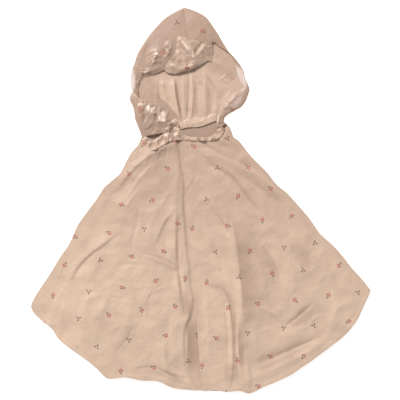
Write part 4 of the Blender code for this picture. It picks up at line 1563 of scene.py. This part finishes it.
@dataclass
class RightHood(HoodHalf):
    """The wearer's right half of the hood, heaped up towards the neck."""

    name: str = "right_hood_cloth"
    node: str = "right_hood"
    area: float = 0.058
    side: int = -1
    print_shift: Point = (107.0, -403.0)
    outline: Path2D = ((-41, 462), (-60, 452), (-84, 438), (-101, 422), (-118, 403), (-132, 384),
                       (-144, 365), (-154, 346), (-160, 326), (-168, 307), (-169, 288), (-168, 269),
                       (-165, 260), (-170, 250), (-170, 238), (-163, 223), (-160, 209), (-158, 194),
                       (-152, 178), (-146, 163), (-142, 151))
    face_edge: Path2D = ((-31, 380), (-38, 355), (-55, 336), (-79, 317), (-106, 304), (-127, 298),
                         (-142, 290), (-148, 276), (-150, 259), (-146, 242), (-130, 234), (-115, 242),
                         (-98, 240), (-79, 221), (-62, 199), (-53, 182), (-52, 168))
    sections: Rows = ((0.0, 1.6, 3.8, 3.8), (0.08, 2.6, 7.0, 7.2), (0.2, 3.2, 10.0, 9.5),
                      (0.35, 3.0, 10.0, 6.0), (0.46, 2.0, 6.4, 2.8), (0.53, 1.6, 4.2, 1.8),
                      (0.62, 1.8, 4.2, 1.8), (0.72, 3.4, 9.0, 2.8), (0.84, 4.2, 12.0, 4.0),
                      (0.93, 4.2, 11.0, 5.0), (1.0, 3.0, 8.0, 6.5))
    inside: Creases = ridges(
        (4, 12, 4.6, (-67, 292), (-62, 257), (-54, 216), (-48, 192)),
        (9, 5, 3, (-93, 288), (-90, 262), (-79, 232)),
        (3, 4, 1.4, (-106, 288), (-103, 245), (-91, 211)),
        (4, 5, 1.6, (-41, 293), (-41, 240), (-38, 190)),
        (4, 5, 1.2, (-132, 278), (-122, 259), (-118, 240)),
        (4, 5, 1.8, (-98, 247), (-74, 221), (-50, 194)),
    ) + ridges(
        (2, 5, 1.6, (-62, 293), (-58, 245), (-48, 192)),
        profile=Profile.SHARP)
    outside: Creases = ridges(
        (5, 6, 1.8, (-145, 228), (-144, 206), (-143, 185)),
        (5, 5, -1.8, (-136, 230), (-134, 209), (-134, 187)),
        (6, 7, 2.2, (-130, 226), (-115, 214), (-106, 194)),
        (6, 6, 2.2, (-98, 216), (-86, 199), (-74, 180)),
        (5, 5, -2, (-120, 233), (-106, 221), (-91, 202), (-82, 182)),
        (8, 8, -1.6, (-125, 382), (-132, 355), (-134, 324)),
        (7, 9, 2.2, (-103, 365), (-110, 341), (-122, 317)),
        (5, 7, 2, (-72, 377), (-77, 355), (-89, 336)),
        (5, 6, 1.6, (-139, 302), (-120, 310), (-98, 317)),
        (5, 5, 1.8, (-158, 250), (-142, 247), (-122, 242)),
    ) + ridges(
        (2.5, 2.5, 2.2, (-78, 377), (-78, 367), (-73, 355)),
        (2.5, 2.5, -1.6, (-84, 362), (-84, 353), (-86, 343)),
        (3, 4, 2.2, (-98, 358), (-106, 346), (-115, 334)),
        (3, 3, -1.6, (-108, 346), (-115, 336), (-120, 324)),
        (2.5, 2.5, 1.6, (-146, 307), (-134, 305), (-120, 310)),
        (3, 4, 2.2, (-154, 322), (-144, 307), (-132, 293)),
        (2.5, 3, 1.6, (-156, 283), (-146, 278), (-134, 276)),
        (3, 3, 1.8, (-151, 230), (-142, 226), (-127, 230)),
        (4, 3, 2.4, (-132, 221), (-122, 211), (-108, 204)),
        (4, 4, 2.6, (-106, 216), (-98, 202), (-101, 185)),
        (3, 3, 1.8, (-91, 209), (-84, 197), (-79, 182)),
        (3, 3, -1.8, (-118, 221), (-108, 209), (-106, 192)),
        (3, 3, 2, (-79, 173), (-72, 182), (-58, 194)),
        (3, 3, -1.6, (-74, 166), (-65, 175), (-53, 182)),
        profile=Profile.SHARP)
    crumpled: Patches = patches((-103, 206, 36, 22, -35), (-139, 226, 14, 16, 0, 0.8),
                                (-118, 192, 44, 44, 0, 0.45), (-151, 283, 9, 34, 4, 0.45),
                                (-110, 341, 16, 20, 30, 0.8), (-79, 362, 8, 18, 8, 0.8),
                                (-137, 305, 18, 12, 10, 0.6), (-70, 178, 20, 12, 30, 0.9))
    shiny: Patches = patches((-142, 226, 12, 5), (-122, 216, 13, 9, -30), (-94, 199, 10, 16, 15),
                             (-106, 350, 7, 5), (-113, 336, 10, 6, 35), (-74, 367, 3, 10, 8),
                             (-62, 190, 8, 6, 40), (-72, 173, 8, 4), (-132, 305, 8, 2.5, 10))
    # Painted shade: darker patches, and shade along the dark sides of the folds.
    shaded: Patches = patches((-122, 300, 30, 8, 12), (-132, 259, 40, 44, 0, 0.72))
    fold_shades: Creases = ridges(
        (9, 1.2, 1, (-65, 302), (-60, 245), (-48, 190)),
        (1.5, 24, 0.85, (-106, 293), (-103, 259), (-94, 226)),
        (2, 9, 0.95, (-103, 252), (-74, 223), (-48, 192)),
        (2, 5, 0.95, (-29, 300), (-31, 245), (-34, 190)),
        (8, 2, 0.95, (-146, 293), (-122, 295), (-89, 305)),
    )
    # Pale painted light where a thin single layer lets light through, and painted highlights on the
    # crumples.
    pale: Patches = patches((-166, 288, 9, 32, 4), (-94, 202, 12, 17, 20, 0.4),
                            (-122, 216, 14, 10, -30, 0.35))


@dataclass
class LeftHood(HoodHalf):
    """The wearer's left half of the hood, with a narrow roll along its outline."""

    name: str = "left_hood_cloth"
    node: str = "left_hood"
    area: float = 0.04
    print_shift: Point = (97.0, -446.0)
    lip_rise: float = 13.0
    outline: Path2D = ((-41, 462), (-24, 457), (-7, 450), (10, 440), (19, 430), (31, 413), (41, 398),
                       (50, 382), (60, 366), (68, 354), (79, 343), (91, 328), (101, 312), (106, 293),
                       (113, 276), (116, 266), (113, 254), (107, 238), (96, 223), (82, 215), (65, 205),
                       (56, 197), (55, 187), (58, 180))
    face_edge: Path2D = ((-31, 380), (-22, 370), (-5, 365), (12, 370), (29, 376), (46, 366), (62, 356),
                         (72, 346), (84, 329), (94, 312), (98, 293), (102, 276), (94, 266), (77, 259),
                         (62, 245), (48, 228), (42, 216), (38, 199), (37, 186), (38, 174))
    sections: Rows = ((0.0, 1.6, 3.8, 3.8), (0.08, 2.6, 7.0, 7.2), (0.2, 3.0, 9.0, 8.5),
                      (0.3, 2.6, 6.2, 3.2), (0.37, 2.0, 4.2, 1.9), (0.46, 1.8, 3.8, 1.8),
                      (0.56, 1.8, 3.8, 1.8), (0.66, 2.2, 4.8, 1.9), (0.76, 3.4, 7.6, 2.4),
                      (0.86, 4.0, 9.0, 3.0), (0.94, 3.8, 8.6, 4.2), (1.0, 3.0, 7.0, 5.5))
    inside: Creases = ridges(
        (4, 4, 3.6, (-22, 296), (-20, 252), (-23, 194)),
        (6, 15, 3.4, (10, 293), (11, 240), (13, 190)),
        (9, 7, 1.8, (36, 268), (38, 236), (33, 200)),
        (3, 4, 1.6, (5, 305), (19, 288), (36, 262)),
        (6, 8, 2.2, (26, 336), (50, 322), (74, 298)),
        (3, 5, 2, (74, 259), (60, 242), (43, 221)),
    ) + ridges(
        (2.5, 2.5, 1.6, (38, 300), (50, 290), (67, 281)),
        (2.5, 2.5, 1.6, (41, 286), (53, 293), (62, 300)),
        profile=Profile.SHARP)
    outside: Creases = ridges(
        (8, 8, 1.6, (7, 434), (19, 413), (29, 391)),
        (6, 6, -1.6, (-2, 430), (10, 408), (19, 386)),
        (7, 7, 1.8, (89, 257), (72, 240), (58, 218)),
        (3, 4, 1.2, (29, 379), (46, 367), (67, 353)),
    ) + ridges(
        (3, 3, 1.6, (0, 430), (12, 408), (24, 386)),
        (3, 3, 1.4, (89, 250), (74, 238), (60, 221)),
        (3, 3, 1.8, (38, 206), (41, 190), (41, 170)),
        (3, 3, -1.4, (48, 206), (48, 190), (48, 170)),
        profile=Profile.SHARP)
    crumpled: Patches = patches((74, 230, 30, 12, 40, 0.5), (43, 187, 10, 16, 0, 0.6),
                                (84, 307, 12, 26, -20, 0.4))
    shiny: Patches = patches((60, 245, 18, 3, 48), (41, 190, 3, 14, 0))
    # Painted shade: darker patches, and shade along the dark sides of the folds.
    shaded: Patches = patches((50, 336, 70, 50, -40, 0.66))
    fold_shades: Creases = ridges(
        (4, 2, 0.95, (-29, 300), (-31, 245), (-34, 190)),
        (9, 1.5, 0.85, (-14, 293), (-14, 245), (-12, 194)),
        (1.5, 6, 0.8, (19, 278), (22, 240), (22, 194)),
        (2, 8, 0.8, (74, 262), (58, 242), (43, 218)),
        (7, 1.5, 0.8, (5, 305), (19, 288), (36, 262)),
    )
    # Pale painted light where a thin single layer lets light through.
    pale: Patches = patches((97, 298, 8, 30, 22), (86, 233, 7, 20, -40, 0.55))


@dataclass
class Brim(ClothPiece):
    """The peak over the forehead, lying on the front of both hood halves.

    Attributes:
        joined_edge: Edge at the hood.
        left_edge: Edge at the wearer's right, which is left in the picture.
        right_edge: The opposite one.
        lip: Free edge.
        heights: Rows of share of the way from the joined edge to the lip, then the heights at the
            left, at the middle and at the right.
        stations: Where those three heights are, across.
        creases: The creases, listed one by one.
        unrest: Small irregular relief.
        clearance: Air between the brim and what it lies on.
        evened: How often what lies under it is evened out, and how often its own heights are.
        painted_shade: Share of painted shade over the whole brim, before the shade along its folds is added.
        glosses: Glossiness of the plain cloth, and how much more of it crumpled places have, where
            highlights are also painted.
    """

    name: str = "brim_cloth"
    node: str = "hood_brim"
    flat: Point = (0.13, 0.09)
    area: float = 0.007
    held: Held = Held.FOLDED
    rests_on: tuple[str, ...] = ("right_hood_cloth", "left_hood_cloth")
    print_shift: Point = (0.0, 300.0)
    columns: int = 130
    rows: int = 110
    joined_edge: Path2D = ((-60, 389), (-53, 392), (-41, 389), (-26, 385), (-10, 382), (10, 378),
                           (26, 377))
    left_edge: Path2D = ((-60, 389), (-58, 374), (-60, 360), (-68, 343), (-79, 329), (-89, 314))
    right_edge: Path2D = ((26, 377), (28, 355), (24, 331))
    lip: Path2D = ((-89, 314), (-82, 306), (-67, 302), (-50, 305), (-36, 308), (-22, 312), (-7, 319),
                   (7, 328), (17, 334), (24, 331))
    heights: Rows = ((0.0, 9.5, 10.0, 5.0), (0.3, 11.0, 12.5, 3.6), (0.6, 11.5, 12.0, 2.8),
                     (0.9, 8.0, 8.5, 2.2), (1.0, 6.0, 6.4, 1.9))
    stations: tuple[float, ...] = (0.0, 0.6, 1.0)
    creases: Creases = ridges(
        (6, 8, 3.4, (-58, 391), (-41, 372), (-29, 355), (-19, 341)),
        (7, 7, -4, (0, 372), (-7, 360), (-14, 348)),
        (6, 6, 2.4, (12, 372), (-2, 355), (-17, 338)),
        (6, 9, 2, (-70, 319), (-46, 314), (-17, 322), (7, 334)),
        (6, 6, 1.8, (-62, 355), (-72, 336), (-77, 324)),
    ) + ridges(
        (3, 2.5, 2.2, (-55, 394), (-41, 374), (-24, 350)),
        (2.5, 2.5, 1.8, (-19, 355), (-17, 346), (-19, 336)),
        (2.5, 2.5, -1.4, (24, 370), (24, 353), (24, 336)),
        (3, 3, 1.8, (12, 343), (19, 336), (26, 329)),
        (3, 3, 1.6, (-72, 331), (-70, 324), (-67, 314)),
        (3, 3, 1.4, (-58, 358), (-55, 353), (-53, 346)),
        (3, 3, 1.4, (-41, 324), (-34, 319), (-26, 314)),
        profile=Profile.SHARP)
    crumpled: Patches = patches((-34, 367, 10, 22, 35), (-17, 343, 9, 8, 0, 0.9), (-70, 324, 9, 9, 0, 0.7),
                                (-26, 322, 40, 9, 12, 0.6), (17, 336, 12, 10, 0, 0.5))
    shiny: Patches = patches((-36, 370, 17, 4, -50), (-17, 343, 5, 4), (-70, 324, 6, 5), (-55, 353, 5, 4),
                             (-26, 322, 13, 3, 15), (10, 331, 8, 3, 20))
    # Pale painted highlights along the ridge and on the crumples.
    pale: Patches = patches((-36, 367, 19, 3.2, -54, 0.9), (-19, 343, 4, 3, 0, 0.8),
                            (-72, 324, 4, 3, 0, 0.5), (-55, 350, 2.5, 4, 0, 0.4), (2, 329, 8, 2, 20, 0.35))
    # Painted shade along the dark sides of the folds.
    fold_shades: Creases = ridges(
        (22, 1.5, 1, (-31, 384), (-19, 362), (-14, 341)),
        (3, 3, 0.9, (25, 372), (25, 336)),
        (1.2, 9, 0.9, (-58, 389), (-43, 367), (-26, 348)),
        (5, 2, 0.6, (-70, 307), (-26, 312), (17, 322)),
    )
    unrest: Crumples = (Crumple(20.0, 0.7, 41, Relief.RIDGED), Crumple(11.0, 0.3, 42))
    clearance: float = 0.5
    evened: tuple[int, int] = (12, 2)
    painted_shade: float = 0.6
    glosses: Point = (0.1, 0.3)

    def grid(self, below: HeightMap) -> np.ndarray:
        """Shape the brim, no lower than what lies under it.

        Args:
            below: What was laid before this piece.

        Returns:
            The middle points by row and column.
        """
        places = spread(smooth_curve(self.joined_edge, self.columns), smooth_curve(self.lip, self.columns),
                        self.left_edge, self.right_edge, self.rows)
        shares, *columns = zip(*self.heights)
        rows = zip(*(np.interp(even_shares(self.rows), shares, column) for column in columns))
        heights = np.array([np.interp(even_shares(self.columns), self.stations, row) for row in rows])
        heights += crease_heights(places, self.creases) + crumple_heights(places, self.unrest)
        rest = smoothed(below.under(places) + SHELL + self.clearance, self.evened[0])
        return with_heights(places, smoothed(np.maximum(heights, rest), self.evened[1]))

    def masks(self) -> dict[str, object]:
        """Make the masks: painted shade all over, darker along the folds, glossier cloth with painted
        highlights where it is crumpled, and pale painted highlights along its ridge.

        Returns:
            Shares from 0 to 1 by row and column.
        """
        places = self.points[..., :2]
        gloss_and_highlight = self.glosses[0] + self.glosses[1] * patch_mask(places, self.crumpled)
        return {"painted_shade": self.painted_shade + (1 - self.painted_shade) * self.dark(),
                "gloss_and_highlight": np.maximum(gloss_and_highlight, patch_mask(places, self.shiny)),
                "pale": patch_mask(places, self.pale)}


@dataclass
class NeckBand(ClothPiece):
    """The gathered strip over the joint of hood and fronts.

    Attributes:
        sections: Rows of x and y on the edge towards the hood, x and y on the edge towards the
            fronts, and the least height there.
        gathers: Rows of share of the length, half width and height of each gather.
        arch: How much higher the middle is than the edges.
        unrest: Small irregular relief.
        clearance: Air between the band and what it lies on.
        evened: How often what lies under it is evened out, and how often its own heights are.
        painted_shade: Its middle share of painted shade.
        gather_shade: Irregular painted shade, as the gathers turn to and from the light.
        most_gather_shade: How far it goes at most.
        gloss_and_highlight: How glossy the coating is; past a point it also gets painted highlights.
    """

    name: str = "neck_band_cloth"
    node: str = "neck_band"
    flat: Point = (0.26, 0.022)
    area: float = 0.0056
    held: Held = Held.GATHERED
    rests_on: tuple[str, ...] = ("right_hood_cloth", "left_hood_cloth", "right_front_cloth",
                                 "left_front_cloth")
    print_shift: Point = (120.0, 60.0)
    columns: int = 300
    rows: int = 30
    sections: Rows = ((-141, 157, -143, 146, 5.0), (-125, 149, -127, 128, 7.0),
                      (-113, 144, -113, 119, 6.8), (-101, 152, -96, 127, 7.0), (-86, 163, -79, 138, 7.2),
                      (-72, 173, -62, 143, 7.2), (-58, 174, -48, 143, 6.8), (-46, 166, -31, 143, 6.2),
                      (-34, 154, -18, 141, 5.8), (-18, 151, -2, 141, 5.6), (0, 151, 15, 141, 5.4),
                      (17, 152, 29, 142, 5.4), (32, 158, 42, 147, 5.6), (41, 172, 52, 158, 5.8),
                      (49, 179, 58, 170, 5.4))
    gathers: Rows = ((0.05, 4, 1.7), (0.13, 5, -1.4), (0.2, 4, 1.9), (0.27, 5, -1.7), (0.34, 4, 2.2),
                     (0.41, 4, -1.4), (0.46, 3, 2.4), (0.52, 5, -2.0), (0.59, 4, 2.0), (0.65, 4, -1.7),
                     (0.71, 5, 2.7), (0.77, 4, -2.0), (0.84, 5, 2.0), (0.92, 4, -1.7))
    arch: float = 1.2
    unrest: Crumples = (Crumple(21.0, 1.8, 51, Relief.RIDGED), Crumple(10.0, 0.5, 52))
    clearance: float = 0.4
    evened: tuple[int, int] = (6, 1)
    painted_shade: float = 0.6
    gather_shade: Crumple = Crumple(12.0, 0.8, 53)
    most_gather_shade: float = 0.4
    gloss_and_highlight: float = 0.35

    def grid(self, below: HeightMap) -> np.ndarray:
        """Shape the band, no lower than what lies under it.

        Args:
            below: What was laid before this piece.

        Returns:
            The middle points by row and column.
        """
        table = np.array(self.sections)
        upper, lower = (smooth_curve(table[:, axes], self.columns) for axes in ((0, 1), (2, 3)))
        down = even_shares(self.rows)
        places = upper * (1 - down[:, None, None]) + lower * down[:, None, None]
        along = np.interp(even_shares(self.columns), even_shares(len(table)), table[:, 4])
        middle = smooth_curve((upper + lower) / 2, self.columns)
        length = np.linalg.norm(np.diff(middle, axis=0), axis=1).sum()
        spots = np.linspace(0.0, length, self.columns)
        folded = sum(height * np.exp(-((spots - share * length) / width) ** 2)
                     for share, width, height in self.gathers)
        ruffle = self.arch * np.sin(np.pi * down)[:, None] + folded[None, :] + self.clearance
        ruffle = np.maximum(ruffle + crumple_heights(places, self.unrest), 0.0)
        rest = smoothed(below.under(places) + SHELL + self.clearance, self.evened[0])
        heights = np.maximum(along[None, :], rest) + ruffle
        return with_heights(places, smoothed(heights, self.evened[1]))

    def masks(self) -> dict[str, object]:
        """Make the masks: the painted shade is uneven, as the gathers turn to and from the light.

        Returns:
            Shares from 0 to 1.
        """
        uneven = self.gather_shade.heights(self.points[..., :2])
        uneven = np.clip(uneven, -self.most_gather_shade, self.most_gather_shade)
        return {"painted_shade": self.painted_shade + uneven, "gloss_and_highlight": self.gloss_and_highlight}


@dataclass
class Stitching:
    """Lines of small stitches that lie on the cloth.

    Attributes:
        pitch: Distance from one stitch to the next.
        length: Length of a stitch.
        thread: Thickness of the thread.
        sides: Sides of a stitch's section.
        samples: Points read along the line for each stitch.
        profile: Rows of place along the stitch, thickness and lift, from end to end.
        lines: Name, solid whose cloth is sewn, and where on its grid of rows and columns.
    """

    pitch: float = 3.0
    length: float = 2.1
    thread: float = 0.42
    sides: int = 5
    samples: int = 4
    profile: Rows = ((-0.5, 0.35, -0.12), (-0.32, 1.0, 0.02), (0.32, 1.0, 0.02), (0.5, 0.35, -0.12))
    lines: tuple[tuple, ...] = (
        ("right_hem", "right_front", np.s_[-5, 2:-6]), ("left_hem", "left_front", np.s_[-5, 3:-2]),
        ("placket_edge", "left_front", np.s_[2:-2, 2]), ("placket", "left_front", np.s_[2:-2, 22]),
        ("right_hood_crown", "right_hood", np.s_[4:42, -4]),
        ("right_hood_edge", "right_hood", np.s_[45:-8, -5]),
        ("left_hood_crown", "left_hood", np.s_[4:42, -4]),
        ("left_hood_edge", "left_hood", np.s_[45:-8, -5]), ("brim", "hood_brim", np.s_[-7, 4:-4]),
        ("neck_band_lower", "neck_band", np.s_[-4, 3:-3]),
        ("neck_band_upper", "neck_band", np.s_[4, 3:-3]))

    def rings(self, middle: np.ndarray, way: np.ndarray) -> list[np.ndarray]:
        """Return the corners of one stitch, ring by ring, in metres.

        Args:
            middle: Middle of the stitch.
            way: Unit vector along it.

        Returns:
            The corners.
        """
        across = np.cross(way, (0.0, 0.0, 1.0))
        up = np.cross(across, way)
        corners = []
        for place, size, lift in self.profile:
            ring = middle + way * self.length * place + up * (SHELL / 2 + lift)
            for side in range(self.sides):
                angle = 2 * math.pi * side / self.sides
                offset = across * math.cos(angle) + up * math.sin(angle)
                corners.append((ring + offset * self.thread / 2 * size) * MILLIMETRE)
        return corners

    def faces(self, first: int) -> list[tuple[int, ...]]:
        """Return the faces of the stitch whose corners start at a number.

        Args:
            first: Number of its first corner.

        Returns:
            Corner numbers of each face.
        """
        faces = []
        for ring in range(len(self.profile) - 1):
            for side in range(self.sides):
                a = first + ring * self.sides + side
                b = first + ring * self.sides + (side + 1) % self.sides
                faces.append((a, b, b + self.sides, a + self.sides))
        last = first + (len(self.profile) - 1) * self.sides
        return faces + [tuple(first + side for side in reversed(range(self.sides))),
                        tuple(last + side for side in range(self.sides))]

    def line(self, name: str, points: np.ndarray, finishes: Finishes) -> None:
        """Sew one line of stitches.

        Args:
            name: Name of the piece.
            points: Points on the middle of the cloth that the line follows.
            finishes: The materials.
        """
        length = np.linalg.norm(np.diff(points, axis=0), axis=1).sum()
        dense = respace(points, max(int(length / self.pitch), 2) * self.samples + 1)
        middles = slice(self.samples // 2, None, self.samples)
        ways = np.gradient(dense, axis=0)[middles]
        ways /= np.linalg.norm(ways, axis=1)[:, None]
        vertices, faces = [], []
        for middle, way in zip(dense[middles], ways):
            faces += self.faces(len(vertices))
            vertices += self.rings(middle, way)
        mesh = bpy.data.meshes.new(name)
        mesh.from_pydata([tuple(vertex) for vertex in vertices], [], faces)
        mesh.shade_smooth()
        seat(add_object(name, mesh, finishes.thread))

    def build(self, points: dict[str, np.ndarray], finishes: Finishes) -> None:
        """Sew hems, placket, crown seam, face edges, brim and neck.

        Args:
            points: The middle points of each piece of cloth, by its solid.
            finishes: The materials.
        """
        for name, node, where in self.lines:
            self.line(f"{name}_stitches", points[node][where], finishes)


def dress_studs(finishes: Finishes) -> None:
    """Give the hidden press studs, whose solids stay, their moulded plastic.

    Args:
        finishes: The materials.
    """
    for name in STUDS:
        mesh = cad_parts[name].data
        mesh.materials.clear()
        mesh.materials.append(finishes.plastic)
        LOG.info("%s: dressed", name)


@dataclass
class Studio:
    """Plain pale floor, soft light and the photograph's camera.

    Attributes:
        lens: Focal length, in millimetres.
        sensor: Width of the sensor, in millimetres.
        height: Height of the camera above the surface, in metres.
        centre: x of the picture's middle, in metres.
        lamp_place: Place of the key light, in metres.
        aim: Point it faces.
        lamp_size: Side of the lamp, in metres.
        lamp_power: Its power, in watts.
        surroundings: Strength of the even light.
        floor_half: Half the side of the floor, in metres.
        floor_height: Height of the floor, just under the garment.
        floor_glow: Light that the floor gives off, so that it reads as plain white.
    """

    lens: float = 85.0
    sensor: float = 36.0
    height: float = 2.267
    centre: float = -0.0024
    lamp_place: tuple[float, float, float] = (-2.45, 4.0, 3.8)
    aim: tuple[float, float, float] = (0.0, -0.05, 0.0)
    lamp_size: float = 1.8
    lamp_power: float = 400.0
    surroundings: float = 0.40
    floor_half: float = 6.0
    floor_height: float = -0.0004
    floor_glow: float = 0.65

    def floor(self) -> None:
        """Make the floor, glowing enough to read as plain white."""
        mesh = bpy.data.meshes.new("floor")
        corners = [(x * self.floor_half, y * self.floor_half, self.floor_height)
                   for x, y in ((-1, -1), (1, -1), (1, 1), (-1, 1))]
        mesh.from_pydata(corners, [], [(0, 1, 2, 3)])
        wires = Wires("pale_floor")
        settings = {"Base Color": (0.9, 0.9, 0.9, 1.0), "Roughness": 0.9,
                    "Emission Color": (1.0, 1.0, 1.0, 1.0), "Emission Strength": self.floor_glow}
        for name, value in settings.items():
            wires.inputs[name].default_value = value
        add_object("floor", mesh, wires.material)

    def light(self) -> None:
        """Set a large soft lamp at the upper left and even surroundings."""
        light = bpy.data.lights.new("key", "AREA")
        light.shape = "SQUARE"
        light.size = self.lamp_size
        light.energy = self.lamp_power
        lamp = bpy.data.objects.new("key", light)
        lamp.location = self.lamp_place
        way = Vector(self.aim) - Vector(self.lamp_place)
        lamp.rotation_euler = way.to_track_quat("-Z", "Y").to_euler()
        bpy.context.scene.collection.objects.link(lamp)
        world = bpy.data.worlds.new("surroundings")
        world.use_nodes = True
        background = world.node_tree.nodes["Background"]
        background.inputs["Color"].default_value = (1.0, 0.99, 0.98, 1.0)
        background.inputs["Strength"].default_value = self.surroundings
        bpy.context.scene.world = world
        bpy.context.scene.view_settings.view_transform = "Standard"

    def camera(self) -> None:
        """Hang the camera straight above, with the hood at the top of the picture."""
        data = bpy.data.cameras.new("camera")
        data.lens = self.lens
        data.sensor_width = self.sensor
        camera = bpy.data.objects.new("camera", data)
        camera.location = (self.centre, 0.0, self.height)
        bpy.context.scene.collection.objects.link(camera)
        bpy.context.scene.camera = camera


def main() -> None:
    """Build the garment piece by piece, dress it and set up the studio."""
    logging.basicConfig(level=logging.INFO, format="%(name)s: %(message)s")
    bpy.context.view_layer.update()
    finishes = Finishes()
    below = HeightMap()
    laid = BackPanel(), RightFront(), LeftFront(), RightHood(), LeftHood()
    on_top = Brim(), NeckBand()
    for piece in laid:
        piece.build(finishes, below)
    for piece in laid:
        below.add(piece.points)
    for piece in on_top:
        piece.build(finishes, below)
    Stitching().build({piece.node: piece.points for piece in laid + on_top}, finishes)
    dress_studs(finishes)
    studio = Studio()
    studio.floor()
    studio.light()
    studio.camera()


if __name__ == "__main__":
    main()
